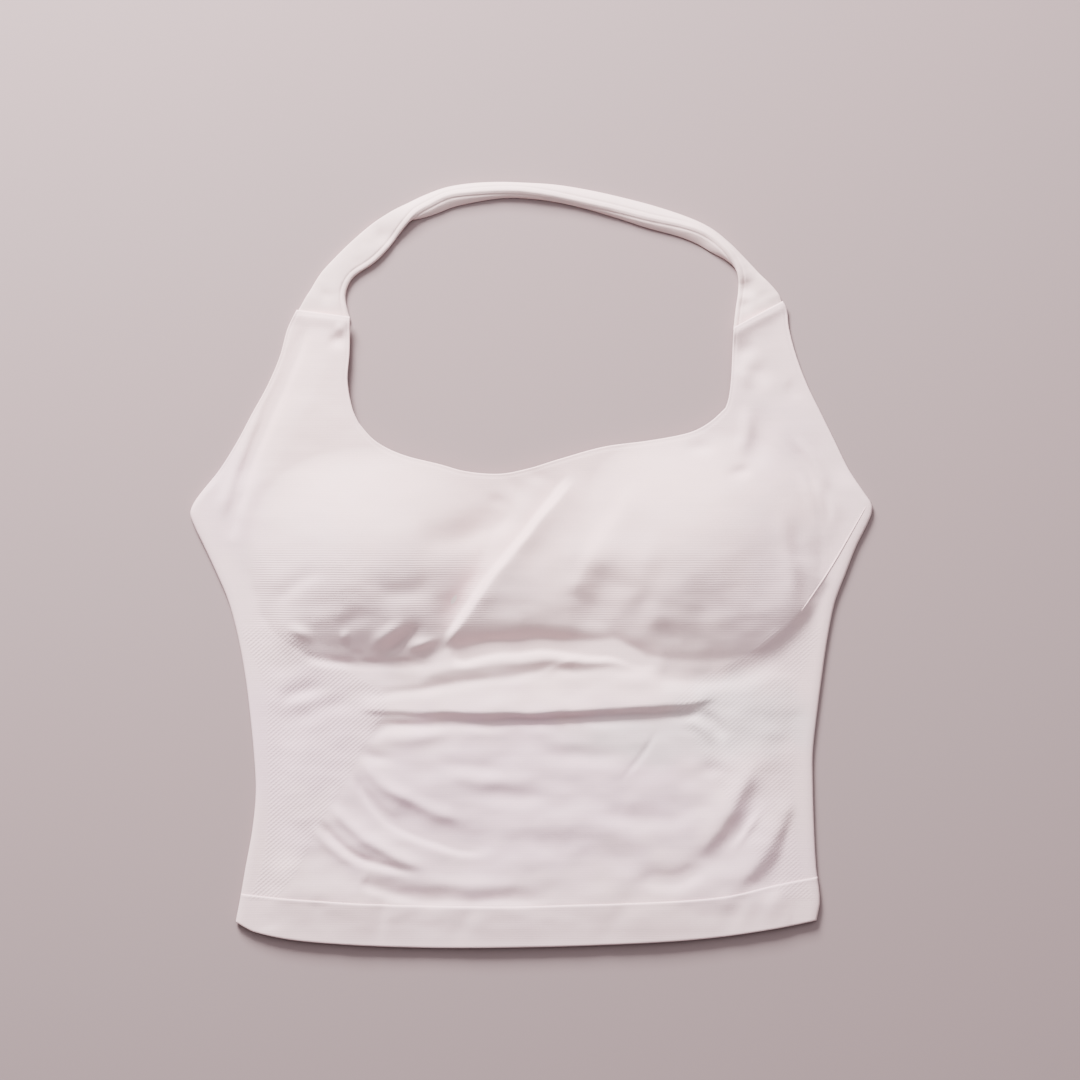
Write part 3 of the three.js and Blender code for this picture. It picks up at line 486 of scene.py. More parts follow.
def front_under(x, y):
    """The height of the front's underside, never through what it rests on."""
    on_back = 1 - soft_step(STEP_DOWN["from"], STEP_DOWN["to"], y - back_top(x))
    inside = side_fold(x, y)
    rests_at = (BACK_CLOTH + LAYER_GAP) * on_back * inside
    loft = LOFT["height"] * soft_step(0, LOFT["reach"], from_side(x, y))
    loose = blend(1, TIGHT_BUST["slack"], soft_step(TIGHT_BUST["from"], TIGHT_BUST["to"], y))
    slack = loose * waves(x / SLACK_STRETCH, y, SLACK)
    lifted = loft + body_form(x, y) + inside * (fold_height(x, y) + slack) + seam_ledge(x, y)
    return rests_at + SOFT_FLOOR * np.logaddexp(0, (lifted - rests_at) / SOFT_FLOOR)


cup_middles = [np.array([float(cup[key]) for cup in CUPS]) for key in "xy"]
print("underside at the middle of both cups:", front_under(*cup_middles).round(1), "mm")

# %% [markdown]
# ## Making a sheet of cloth
# A piece of cloth is a closed shell: a fine upper face that carries the folds, a coarser underside,
# and a rounded rim that both share. Blender's Solidify modifier could thicken one face, but its rim
# would be square and its hidden underside as fine as the top. Building the shell from rows of points
# keeps the fine faces where they show.

# %% Rows of points
PITCH = 1.25
RIM_STEPS = [0, 0.22, 0.6, 1.2, 2.1]


def spaced(length, pitch=PITCH):
    """Shares from 0 to 1, a pitch apart, and closer together beside both ends."""
    *rim, last = RIM_STEPS
    inner = np.linspace(last, length - last, round((length - 2 * last) / pitch) + 1)
    return np.concatenate([rim, inner, length - np.array(rim[::-1])]) / length


def patch(bottom, top, left, right, across_shares, up_shares):
    """Rows of places between four edges, each a function of shares along it."""
    u, v = across_shares[None, :, None], up_shares[:, None, None]
    low, high = bottom(across_shares)[None], top(across_shares)[None]
    west, east = left(up_shares)[:, None], right(up_shares)[:, None]
    level = blend(low, high, v) + blend(west, east, u)
    return level - blend(blend(low[:, :1], low[:, -1:], u), blend(high[:, :1], high[:, -1:], u), v)


print("shares along 12 mm of cloth:", spaced(12).round(2))

# %% [markdown]
# ## The four edges of a patch
# Each patch of cloth has four edges, like a pattern piece on the cutting table. An edge is a function
# that gives the places at some shares of its length, and the rows in between follow from the four.

# %% Edges
def across(rows, inset=0, lift=0):
    """A line across the garment as a function of shares, set in at both ends and moved along Y."""
    def places(share):
        x = blend(rows["x"][0] + inset, rows["x"][-1] - inset, share)
        return np.stack([x, between(rows, "x", "y", x) + lift], axis=-1)
    return places


def edge(side, low, high, inset=0):
    """A side of the garment from a low to a high level."""
    def places(share):
        y = blend(low, high, share)
        return np.stack([side(y) + inset, y], axis=-1)
    return places


def straight(start, end):
    return lambda share: blend(np.array(start), np.array(end), np.asarray(share)[:, None])


def up_line(rows):
    line = smooth_line(rows)
    return lambda share: at_share(line, share)


print("the hem, from its left end to its right:", across(HEM_EDGE)(np.array([0, 0.5, 1])).round(1).tolist())

# %% [markdown]
# ## From points to a mesh
# All lengths become metres here, in one place. The knit's kind is painted on the points as named values,
# because a material can read those anywhere, without a picture laid over the cloth.

# %% Meshes and painted values
def mesh_piece(name, vertices, faces):
    """A smooth-shaded object from points in millimetres."""
    mesh = bpy.data.meshes.new(name)
    mesh.from_pydata((np.asarray(vertices) * MM).tolist(), [], faces)
    mesh.validate()
    mesh.shade_smooth()
    piece = bpy.data.objects.new(name, mesh)
    bpy.context.collection.objects.link(piece)
    return piece


def tube_faces(rings, points, first=0):
    """The faces between rings of points, and the points' numbers ring by ring."""
    ids = first + np.arange(rings * points).reshape(rings, points)
    turned = np.roll(ids, -1, axis=1)
    faces = np.stack([ids[:-1], ids[1:], turned[1:], turned[:-1]], axis=-1)
    return faces.reshape(-1, 4), ids


def paint(piece, mask, values):
    """A value at every point, for the material to read."""
    layer = piece.data.attributes.new(mask, "FLOAT", "POINT")
    layer.data.foreach_set("value", np.asarray(values, np.float32))


def count_triangles(*pieces):
    return sum(len(face.vertices) - 2 for piece in pieces for face in piece.data.polygons)


print("a ring of 8 points joined to the next takes", len(tube_faces(2, 8)[0]), "faces")

# %% [markdown]
# ## The turned edge
# From the underarms up, the front's edges are turned in and stitched, so a shallow groove runs just
# inside them. The rim itself is round, as the fold of a cloth is. Both come from how far a place is from
# the rim, which needs no extra piece of cloth.

# %% The rim
BOUND_EDGE = {"reach": 2.6, "from_rim": 1.2, "width": 0.5, "depth": 0.3, "above": (31, 40)}


def rim_distance(spots, rim_edges, reach):
    """How far each place is from the rim, where it is nearer than the reach."""
    near = np.full(len(spots), float(reach))
    order = np.argsort(spots[:, 1])
    heights = spots[order, 1]
    for a, b in spots[rim_edges]:
        low = np.searchsorted(heights, min(a[1], b[1]) - reach)
        high = np.searchsorted(heights, max(a[1], b[1]) + reach)
        some = order[low:high]
        run = b - a
        t = np.clip((spots[some] - a) @ run / (run @ run), 0, 1)
        off = np.hypot(*(spots[some] - a - t[:, None] * run).T)
        near[some] = np.minimum(near[some], off)
    return near


def rim_drop(from_rim, y, cloth):
    """How much lower the upper face is near the rim: its round, and the groove of the turned edge."""
    radius = cloth / 2
    rounding = radius - np.sqrt(np.maximum(0, radius**2 - np.maximum(0, radius - from_rim) ** 2))
    groove = np.exp(-(((from_rim - BOUND_EDGE["from_rim"]) / BOUND_EDGE["width"]) ** 2))
    return rounding, groove * BOUND_EDGE["depth"] * soft_step(*BOUND_EDGE["above"], y)


print("the turned edge is stitched %.1f mm from the rim" % BOUND_EDGE["from_rim"])

# %% [markdown]
# ## The underside
# Nobody sees the underside, so its cells are three times as wide. It has to stay below the lowest point
# of the fine face above it, or it would poke through in a trough.

# %% Coarse cells below
UNDER_STEP = 3
OFF_FLOOR = 0.02


def least_around(values, reach):
    """Each place's least value within a few rows and columns."""
    for axis in (0, 1):
        spread = np.pad(values, [(reach, reach) if a == axis else (0, 0) for a in (0, 1)], mode="edge")
        places = np.arange(values.shape[axis])
        windows = [np.take(spread, places + k, axis=axis) for k in range(2 * reach + 1)]
        values = np.min(windows, axis=0)
    return values


def cell_loops(ids):
    """Coarse cells of the underside. A cell beside a patch's border keeps every point on it."""
    rows = np.unique([*range(0, ids.shape[0], UNDER_STEP), ids.shape[0] - 1])
    columns = np.unique([*range(0, ids.shape[1], UNDER_STEP), ids.shape[1] - 1])
    loops = []
    for r0, r1 in zip(rows, rows[1:]):
        for c0, c1 in zip(columns, columns[1:]):
            south = ids[r0, c0:c1] if r0 == 0 else ids[r0, c0:c0 + 1]
            east = ids[r0:r1, c1] if c1 == columns[-1] else ids[r0:r0 + 1, c1]
            north = ids[r1, c1:c0:-1] if r1 == rows[-1] else ids[r1, c1:c1 + 1]
            west = ids[r1:r0:-1, c0] if c0 == 0 else ids[r1:r1 + 1, c0]
            loops.append([*south, *east, *north, *west])
    return loops


print("a patch of 7 by 7 points takes", len(cell_loops(np.arange(49).reshape(7, 7))), "cells below")

# %% [markdown]
# ## The shell
# The patches meet where their places are the same, so they become one sheet. Every place then gets two
# heights, above and below, except on the rim, where the two faces share their points.

# %% The shell builder
SHARED_DIGITS = 3


def join_patches(patches):
    """The places of all patches, each once, and every patch's grid of their numbers."""
    places = np.vstack([rows.reshape(-1, 2) for rows in patches])
    spots, ids = np.unique(places.round(SHARED_DIGITS), axis=0, return_inverse=True)
    ids = ids.reshape(-1)
    grids, start = [], 0
    for rows in patches:
        size = rows.shape[0] * rows.shape[1]
        grids.append(ids[start:start + size].reshape(rows.shape[:2]))
        start += size
    return spots, grids


def fine_faces(grids):
    """The upper face's cells, and the edges that only one cell has, which are the rim."""
    cells = [np.stack([g[:-1, :-1], g[:-1, 1:], g[1:, 1:], g[1:, :-1]], axis=-1) for g in grids]
    faces = np.vstack([cell.reshape(-1, 4) for cell in cells])
    sides = np.vstack([faces[:, [k, (k + 1) % 4]] for k in range(4)])
    keys, uses = np.unique(np.sort(sides, axis=1), axis=0, return_counts=True)
    return faces, keys[uses == 1]


def cloth_shell(name, patches, height, cloth, painted):
    """A closed sheet from patches of places. height gives its underside; painted are named masks."""
    spots, grids = join_patches(patches)
    faces, rim_edges = fine_faces(grids)
    x, y = spots.T
    rounding, groove = rim_drop(rim_distance(spots, rim_edges, BOUND_EDGE["reach"]), y, cloth)
    top = height(x, y) + cloth - rounding - groove

    below = np.full(len(spots), np.inf)
    for grid in grids:
        np.minimum.at(below, grid, least_around(top[grid], UNDER_STEP) - cloth)
    loops = [loop for grid in grids for loop in cell_loops(grid)]
    used = np.setdiff1d([i for loop in loops for i in loop], rim_edges)
    low_id = np.arange(len(spots))
    low_id[used] = len(spots) + np.arange(len(used))
    low = np.maximum(below[used], OFF_FLOOR)
    vertices = np.vstack([np.stack([x, y, top], axis=1), np.stack([x[used], y[used], low], axis=1)])
    coarse = [[int(low_id[i]) for i in reversed(loop)] for loop in loops]
    piece = mesh_piece(name, vertices, [*faces.tolist(), *coarse])
    every = np.concatenate([np.arange(len(spots)), used])
    for mask, values in painted:
        paint(piece, mask, values(x, y)[every])
    return piece


print("a patch of one cell has", len(fine_faces([np.arange(4).reshape(2, 2)])[1]), "rim edges")

# %% [markdown]
# ## Where each knit is
# One machine knits the whole body and changes its stitch as it goes: fine ribs across the bust, an
# airy diagonal mesh down both sides, plain stitch elsewhere. The masks are painted on the points, and
# the material reads them, so no seam is needed between the stitches.

# %% Masks for ribs and mesh
MESH_ZONE = table("y outer inner", [
    (-176, 149, 134), (-160, 142.5, 122.5), (-138, 139.5, 112), (-110, 139, 95.5), (-99, 139.5, 90),
    (-72, 140, 76), (-60, 142, 90), (-45, 149, 116), (-29, 156, 132),
])
MESH_EDGE = 1.6
MESH_STARTS = (-178, -175)
MESH_ENDS = (-40, -29)
MESH_SHARE = {"left": 1.0, "right": 0.55}
RIB_ZONE = {"starts": (-40, -30), "ends": (-2, 14), "inner": (14, 30), "outer": (140, 150)}
RIB_SHARE = {"elsewhere": 0.15, "left": 1.0, "right": 0.6}


def on_side(x, shares):
    return np.where(x < 0, shares["left"], shares["right"])


def mesh_mask(x, y):
    """1 in the left mesh, which is widest under the bust and narrows to the hem. The right shows less."""
    to_inner = np.abs(x) - between(MESH_ZONE, "y", "inner", y)
    to_outer = between(MESH_ZONE, "y", "outer", y) - np.abs(x)
    wide = soft_step(-MESH_EDGE, MESH_EDGE, to_inner) * soft_step(-MESH_EDGE, MESH_EDGE, to_outer)
    return wide * soft_step(*MESH_STARTS, y) * (1 - soft_step(*MESH_ENDS, y)) * on_side(x, MESH_SHARE)


def rib_mask(x, y):
    """1 in the ribs across the lower bust, less on the right, and a trace of them all over."""
    tall = soft_step(*RIB_ZONE["starts"], y) * (1 - soft_step(*RIB_ZONE["ends"], y))
    wide = soft_step(*RIB_ZONE["inner"], np.abs(x)) * (1 - soft_step(*RIB_ZONE["outer"], np.abs(x)))
    return blend(RIB_SHARE["elsewhere"], 1, tall * wide * on_side(x, RIB_SHARE))


print("mesh at the left and right of the waist:", mesh_mask(np.array([-120, 120]), np.full(2, -90.0)))

# %% [markdown]
# ## Soft areas of tint and painted shade
# A pale cloth picks up tints from the light and from what lies beside it. The top shows soft areas of
# lilac, cool and warm. The lilac is a little darker too, so over the belly and the left waist it is
# painted shade as well as tint. They are painted as uneven ovals, each a row that is easy to move.

# %% Tints
# Each lilac row darkens the cloth a little as well as tinting it; over the belly and the left waist that is
# painted shade.
TINT_AREAS = [
    {"mask": "lilac_and_shade", "x": -5, "y": -124, "across": 118, "tall": 46, "share": 0.95},
    {"mask": "lilac_and_shade", "x": -122, "y": -90, "across": 46, "tall": 40, "share": 0.85},
    {"mask": "lilac_and_shade", "x": 122, "y": -8, "across": 32, "tall": 40, "share": 0.35},
    {"mask": "lilac_and_shade", "x": 130, "y": 62, "across": 22, "tall": 30, "share": 0.3},
    {"mask": "lilac_and_shade", "x": -160, "y": 34, "across": 20, "tall": 34, "share": 0.5},
    {"mask": "lilac_and_shade", "x": 112, "y": -158, "across": 40, "tall": 24, "share": 0.6},
    {"mask": "warm", "x": 14, "y": 34, "across": 130, "tall": 50, "share": 0.8},
    {"mask": "warm", "x": -122, "y": 90, "across": 30, "tall": 60, "share": 0.6},
    {"mask": "cool", "x": 108, "y": -82, "across": 38, "tall": 22, "share": 1.0},
    {"mask": "cool", "x": 58, "y": -92, "across": 38, "tall": 13, "share": 0.8},
]
TINT_FADE = (0.467, 1.4)
TINT_WAVES = [{"height": 0.35, "size": 26, "layer": 2.2}, {"height": 0.2, "size": 9, "layer": 5.5}]


def tint_mask(name):
    """A painter for one tint: soft uneven ovals, wherever the table puts them."""
    def values(x, y):
        wander = waves(x, y, TINT_WAVES)
        total = np.zeros(x.shape)
        for area in TINT_AREAS:
            if area["mask"] == name:
                out = np.hypot((x - area["x"]) / area["across"], (y - area["y"]) / area["tall"]) + wander
                total = np.maximum(total, area["share"] * (1 - soft_step(*TINT_FADE, out)))
        return total
    return values


TINTS = ("lilac_and_shade", "cool", "warm")
knit_masks = [("ribs", rib_mask), ("mesh", mesh_mask), *((tint, tint_mask(tint)) for tint in TINTS)]
print("masks to paint:", ", ".join(mask for mask, _ in knit_masks))

# %% [markdown]
# ## The front
# The front is one body with two halter points that run up to the strap. The body's rows go from the
# welt up to the feet of the halter points and the bottom of the neckline between them.

# %% The body of the front
PANEL_WIDTH = 330
BODY_HEIGHT = 240
UNDER_WELT = 1.2
left_width = LEFT_SPLIT["across"]
right_start = RIGHT_SPLIT["across"]
column_shares = np.unique(np.concatenate([
    left_width * spaced(left_width * PANEL_WIDTH),
    blend(left_width, right_start, spaced((right_start - left_width) * PANEL_WIDTH)),
    blend(right_start, 1, spaced((1 - right_start) * PANEL_WIDTH)),
]).round(9))


def split_line(u):
    """The body's top edge: a halter point's foot, the neckline's bottom, the other point's foot."""
    left = np.array([left_side(LEFT_SPLIT["y"]), LEFT_SPLIT["y"]])
    right = np.array([right_side(RIGHT_SPLIT["y"]), RIGHT_SPLIT["y"]])
    neck = smooth_line(NECK_BOTTOM)
    low, high = left_width, right_start
    at_left = blend(left, neck[0], np.clip(u / low, 0, 1)[:, None])
    at_right = blend(neck[-1], right, np.clip((u - high) / (1 - high), 0, 1)[:, None])
    middle = at_share(neck, np.clip((u - low) / (high - low), 0, 1))
    return np.where((u < low)[:, None], at_left, np.where((u > high)[:, None], at_right, middle))


body = patch(
    across(WELT_LINE, 0, -UNDER_WELT), split_line,
    edge(left_side, WELT_LINE["y"][0] - UNDER_WELT, LEFT_SPLIT["y"]),
    edge(right_side, WELT_LINE["y"][-1] - UNDER_WELT, RIGHT_SPLIT["y"]),
    column_shares, spaced(BODY_HEIGHT),
)
print("the body has %d rows of %d points" % body.shape[:2])

# %% [markdown]
# ## The halter points
# A halter point starts with the same points as the body below it, so the cloth runs through without a
# seam. The three patches then become one sheet.

# %% Front panel
LEFT_POINT_HEIGHT = 62
RIGHT_POINT_HEIGHT = 52


def halter_point(first, last, left, right, seam_left, seam_right, height):
    """Rows from a stretch of the body's top edge up to the strap's seam."""
    columns = column_shares[first:last + 1]
    shares = (columns - columns[0]) / (columns[-1] - columns[0])
    foot = body[-1, first:last + 1]
    lower, upper = straight(foot[0], foot[-1]), straight(seam_left, seam_right)
    rows = patch(lower, upper, left, right, shares, spaced(height))
    rows[0] = foot
    return rows


left_corner = int(np.argmin(np.abs(column_shares - left_width)))
right_corner = int(np.argmin(np.abs(column_shares - right_start)))
left_point = halter_point(
    0, left_corner,
    edge(left_side, LEFT_SPLIT["y"], LEFT_SEAM["outer"][1]), up_line(NECK_LEFT),
    LEFT_SEAM["outer"], LEFT_SEAM["inner"], LEFT_POINT_HEIGHT,
)
right_point = halter_point(
    right_corner, len(column_shares) - 1,
    up_line(NECK_RIGHT), edge(right_side, RIGHT_SPLIT["y"], RIGHT_SEAM["outer"][1]),
    RIGHT_SEAM["inner"], RIGHT_SEAM["outer"], RIGHT_POINT_HEIGHT,
)
front_patches = [body, left_point, right_point]
front = cloth_shell("front_cloth", front_patches, front_under, FRONT_CLOTH, knit_masks)
print("front panel:", count_triangles(front), "triangles")

# %% [markdown]
# ## The side seam
# Front and back are joined at the sides. On the right the seam has rolled to the front and shows as a
# thin raised line from the underarm down. A thin tube, half sunk in the cloth, is enough for it.

# %% Side seam
SIDE_SEAM = table("x y", [(177, 30.5), (168.5, 15.5), (160, 0.8), (151.5, -12), (142.5, -24.5)])
SEAM_LINE = {"radius": 0.42, "sides": 8, "steps": 10, "blunt": 0.06, "fullness": 0.4, "roll": 0.02}


def raised_line(rows):
    """A thin tube that lies half sunk in the front along a line, pointed at both ends."""
    line = smooth_line(rows, SEAM_LINE["steps"])
    rolled = SEAM_LINE["roll"] * (SIDE_ROUND - from_side(*line.T)).clip(0) ** 2
    height = (front_under(*line.T) + FRONT_CLOTH - rolled)[:, None]
    run = np.gradient(line, axis=0)
    normal = np.stack([-run[:, 1], run[:, 0]], axis=1) / np.hypot(*run.T)[:, None]
    swing = np.linspace(SEAM_LINE["blunt"], math.pi - SEAM_LINE["blunt"], len(line))[:, None]
    thin = SEAM_LINE["radius"] * np.sin(swing) ** SEAM_LINE["fullness"]
    turn = np.linspace(0, 2 * math.pi, SEAM_LINE["sides"], endpoint=False)[None]
    x, y = (line[:, k:k + 1] + thin * np.cos(turn) * normal[:, k:k + 1] for k in (0, 1))
    vertices = np.stack([x, y, height + thin * np.sin(turn)], axis=-1).reshape(-1, 3)
    quads, ids = tube_faces(len(line), SEAM_LINE["sides"])
    faces = [*quads[:, [0, 3, 2, 1]].tolist(), ids[0, ::-1].tolist(), ids[-1].tolist()]
    return mesh_piece("seam_line", vertices, faces)


def join_into(piece, extra):
    for mask, _ in knit_masks:
        paint(extra, mask, np.zeros(len(extra.data.vertices)))
    with bpy.context.temp_override(active_object=piece, selected_editable_objects=[piece, extra]):
        bpy.ops.object.join()


join_into(front, raised_line(SIDE_SEAM))
print("front with its seam:", count_triangles(front), "triangles")

# %% [markdown]
# ## The welt
# The hem is a band knitted double, a little thicker than the body. It starts with one raised course,
# which shows as a fine bright line.

# %% Front welt
WELT_RIDGE = {"below": 0.9, "width": 0.8, "rise": 0.13}
WELT_STEP = 0.24
WELT_FALL = {"share": 0.8, "from": 1, "to": 22}
WELT_HEIGHT = 21
WELT_PITCH = 1.1


def welt_under(x, y):
    """The welt goes on at the front's height and comes down towards the hem."""
    stacked = (WELT_CLOTH + LAYER_GAP) / (BACK_CLOTH + LAYER_GAP)
    lying = np.minimum(front_under(x, y), LOFT["height"] + WELT_CLOTH)
    below = between(WELT_LINE, "x", "y", x) - y
    ridge = WELT_RIDGE["rise"] * np.exp(-(((below - WELT_RIDGE["below"]) / WELT_RIDGE["width"]) ** 2))
    rests_at = (WELT_CLOTH + LAYER_GAP) * side_fold(x, y)
    lifted = np.minimum(lying * stacked, lying + WELT_STEP)
    falls = WELT_FALL["share"] * soft_step(WELT_FALL["from"], WELT_FALL["to"], below)
    return np.maximum(lifted - falls * np.maximum(lifted - rests_at, 0), 0) + ridge


welt_rows = patch(
    across(HEM_EDGE), across(WELT_LINE),
    edge(left_side, HEM_EDGE["y"][0], WELT_LINE["y"][0]),
    edge(right_side, HEM_EDGE["y"][-1], WELT_LINE["y"][-1]),
    column_shares, spaced(WELT_HEIGHT, WELT_PITCH),
)
front_welt = cloth_shell("front_welt_cloth", [welt_rows], welt_under, WELT_CLOTH, knit_masks)
print("front welt:", count_triangles(front_welt), "triangles")

# %% [markdown]
# ## The back
# The back lies flat on the floor under the front and stops low, from underarm to underarm. Little of
# it shows, so its rows are wider apart.

# %% Back panel and back welt
BACK_PITCH = 3
BACK_HEIGHT = 205
BACK_WELT_HEIGHT = 22


def flat_on_floor(x, y):
    return np.zeros(x.shape)


def back_piece(name, lower, upper, rows_tall, cloth):
    """A plain sheet between two lines, set in from the front's sides."""
    ends = np.array([0.0, 1.0])
    (left_low, right_low), (left_high, right_high) = lower(ends)[:, 1], upper(ends)[:, 1]
    rows = patch(
        lower, upper,
        edge(left_side, left_low, left_high, BACK_INSET),
        edge(right_side, right_low, right_high, -BACK_INSET),
        spaced(PANEL_WIDTH, BACK_PITCH), spaced(rows_tall, BACK_PITCH),
    )
    return cloth_shell(name, [rows], flat_on_floor, cloth, knit_masks)


def back_neckline(share):
    reach = BACK_TOP["half_width"] - BACK_INSET
    x = blend(-reach, reach, share)
    return np.stack([x, back_top(x)], axis=-1)


back_line = across(WELT_LINE, BACK_INSET)
back = back_piece("back_cloth", back_line, back_neckline, BACK_HEIGHT, BACK_CLOTH)
welt_top = across(WELT_LINE, BACK_INSET, -LAYER_GAP)
back_hem = across(HEM_EDGE, BACK_INSET)
back_welt = back_piece("back_welt_cloth", back_hem, welt_top, BACK_WELT_HEIGHT, WELT_CLOTH)
print("back:", count_triangles(back, back_welt), "triangles")

# %% [markdown]
# ## The neck strap
# The strap is a band folded double along its inner edge, with the fold as a ridge towards the loop. It
# twists as it goes round. There it shows narrow from above, and its lower layer peeps out in the loop.
# Each row of the table is a station: where the outer edge and the ridge are, and how far the lower
# layer's edge reaches past the ridge.

# %% Strap stations
STRAP_WIDTH = 17
STRAP = table("outer_x outer_y ridge_x ridge_y spread", [
    (-117.7, 143.9, -98.1, 138.8, -19), (-111.4, 154.0, -97.6, 145.9, -15),
    (-103.4, 162.8, -93.3, 152.8, -14), (-93.9, 172.0, -83.3, 159.6, -15),
    (-83.8, 180.5, -75.6, 167.2, -15), (-73.7, 187.1, -67.6, 177.6, -6),
    (-65.2, 191.5, -60.5, 185.0, 1.6), (-56.2, 195.8, -52.5, 189.6, 3.7), (-45.1, 199.8, -43.0, 193.9, 4.2),
    (-32.4, 201.9, -31.3, 195.6, 3.2), (-18.1, 202.6, -17.5, 196.6, 2.1), (-3.8, 202.2, -4.3, 196.3, 1.6),
    (13.2, 201.1, 11.6, 194.0, 1.1), (30.2, 198.4, 27.5, 190.6, 1.1), (47.1, 194.7, 43.9, 186.9, 2.1),
    (65.1, 190.0, 62.0, 182.2, 3.2), (83.2, 184.0, 80.0, 178.2, 4.2), (95.3, 178.2, 91.4, 174.0, 4.8),
    (105.4, 170.2, 100.4, 167.4, 4.2), (114.0, 161.4, 106.6, 159.9, 0.6), (120.6, 154.3, 109.6, 152.0, -4),
    (126.3, 148.7, 109.6, 144.4, -12), (130.4, 144.0, 108.4, 136.0, -20),
])
STATIONS_A_ROW = 10


def strap_stations():
    """Rows of the strap's table, with its two seams added and places filled in between."""
    def at_seam(seam):
        (ox, oy), (ix, iy) = seam["outer"], seam["inner"]
        return ox, oy, ix, iy, -math.hypot(ox - ix, oy - iy)
    first, last = at_seam(LEFT_SEAM), at_seam(RIGHT_SEAM)
    filled = {name: np.array([first[k], *STRAP[name], last[k]]) for k, name in enumerate(STRAP)}
    filled["order"] = np.arange(len(filled["spread"]), dtype=float)
    at = np.linspace(0, filled["order"][-1], int(filled["order"][-1]) * STATIONS_A_ROW + 1)
    return {name: between(filled, "order", name, at) for name in STRAP}


strap_at = strap_stations()
print("stations along the strap:", len(strap_at["spread"]))

# %% [markdown]
# ## The section of a folded band
# Across the strap, two layers leave the fold, bulge a little and end in round edges. A row of stitches
# presses a groove beside the fold. One function draws that section for any width, so every station has
# the same number of points, and they can be joined into a tube.

# %% Strap section
STRAP_PUFF = 0.5
STRAP_STAND = 0.3
STRAP_TUCK = (5, 11)
TOPSTITCH = {"from_fold": 2.9, "width": 0.45, "depth": 0.36}
NEAR_FOLD = [4.4, 3.8, 3.35, 2.9, 2.45, 2.0, 1.7]
LEG = {"points": 9, "share": 0.9, "crowding": 1.5, "least": 0.02}
FOLD_ARC = np.linspace(1, -1, 9)
RIM_ARC = np.linspace(0, math.pi, 7)[1:-1]


def unit(v):
    return v / np.hypot(*v)


def strap_section(width, spread):
    """Points round the strap's section, across it and up, with the stitched groove beside the fold."""
    half = STRAP_CLOTH / 2
    parting = (STRAP_CLOTH + LAYER_GAP) / 2
    bend = parting + half
    stands = STRAP_STAND * math.sqrt(max(STRAP_WIDTH**2 - width**2, 0))
    ridge = np.array([width - bend, max(stands - bend, bend)])
    foot_at = max(width + spread, half)
    under = 1 - soft_step(*STRAP_TUCK, foot_at)
    outer = np.array([half, half + under * (STRAP_CLOTH + LAYER_GAP)])
    foot = np.array([foot_at, half])
    to_outer, to_foot = unit(outer - ridge), unit(foot - ridge)
    inward = unit(to_outer + to_foot)
    side = unit(to_outer - to_outer.dot(inward) * inward)

    def layer(end, sign):
        """One layer from its end to the fold. It leaves the fold's round where its slope meets it."""
        def facing(start):
            run = unit(end - start)
            out = np.array([run[1], -run[0]])
            return -out if out.dot(side) * sign < 0 else out

        leaves = facing(ridge)
        start = ridge + parting * leaves
        out, run = facing(start), unit(end - start)
        long = np.hypot(*(end - start)) + bend
        nearest = min(NEAR_FOLD[0], LEG["share"] * long)
        away = np.concatenate([np.linspace(long, nearest, LEG["points"], endpoint=False), NEAR_FOLD])
        away = np.minimum(away, np.linspace(long, bend, len(away)) + LEG["crowding"])[:, None]
        t = 1 - (away - bend).clip(LEG["least"]) / (long - bend)
        middle = blend(end, start, t) + out * 4 * STRAP_PUFF * t * (1 - t)
        groove = TOPSTITCH["depth"] * np.exp(-(((away - TOPSTITCH["from_fold"]) / TOPSTITCH["width"]) ** 2))
        rim = [end + half * (math.cos(turn) * out + math.sin(turn) * run) for turn in RIM_ARC]
        return leaves, middle + out * (half - groove), middle - out * half, rim

    upper_leaves, upper_out, upper_in, upper_rim = layer(outer, 1)
    lower_leaves, lower_out, lower_in, lower_rim = layer(foot, -1)
    turn = FOLD_ARC[:, None] * math.acos(-upper_leaves.dot(inward))
    fold = ridge + bend * (np.sin(turn) * side - np.cos(turn) * inward)
    inner_fold = [ridge + LAYER_GAP / 2 * upper_leaves, ridge + LAYER_GAP / 2 * lower_leaves]
    return np.vstack([
        upper_in, *inner_fold, lower_in[::-1], lower_rim[::-1],
        lower_out, fold[::-1], upper_out[::-1], upper_rim,
    ])


print("points round the strap:", len(strap_section(STRAP_WIDTH, -STRAP_WIDTH)))

# %% [markdown]
# ## The strap's mesh
# The section is placed at every station, from the outer edge to the ridge. At both ends the strap is
# pressed thin by the seam and tucked under the front's turned-in edge.

# %% Neck strap
STRAP_DIMPLES = [
    {"x": -78.5, "y": 174, "size": 4.5, "depth": 1.0}, {"x": -108.5, "y": 142, "size": 4.0, "depth": 0.9},
    {"x": 114, "y": 146, "size": 4.4, "depth": 1.9}, {"x": 113, "y": 137, "size": 3.0, "depth": 1.3},
    {"x": 121, "y": 141, "size": 3.0, "depth": 0.7}, {"x": -90, "y": 160, "size": 3.5, "depth": 0.5},
]
STRAP_SLACK = [{"height": 0.3, "size": 11, "layer": 4.4}, {"height": 0.12, "size": 4, "layer": 6.1}]
STRAP_SLACK_FROM = 3
SEAM_PRESS = {"thin": 0.72, "over": 8, "station": 0.9, "tuck": 1.6}


def dimple(d, x, y):
    return d["depth"] * np.exp(-(((x - d["x"]) ** 2 + (y - d["y"]) ** 2) / d["size"] ** 2))


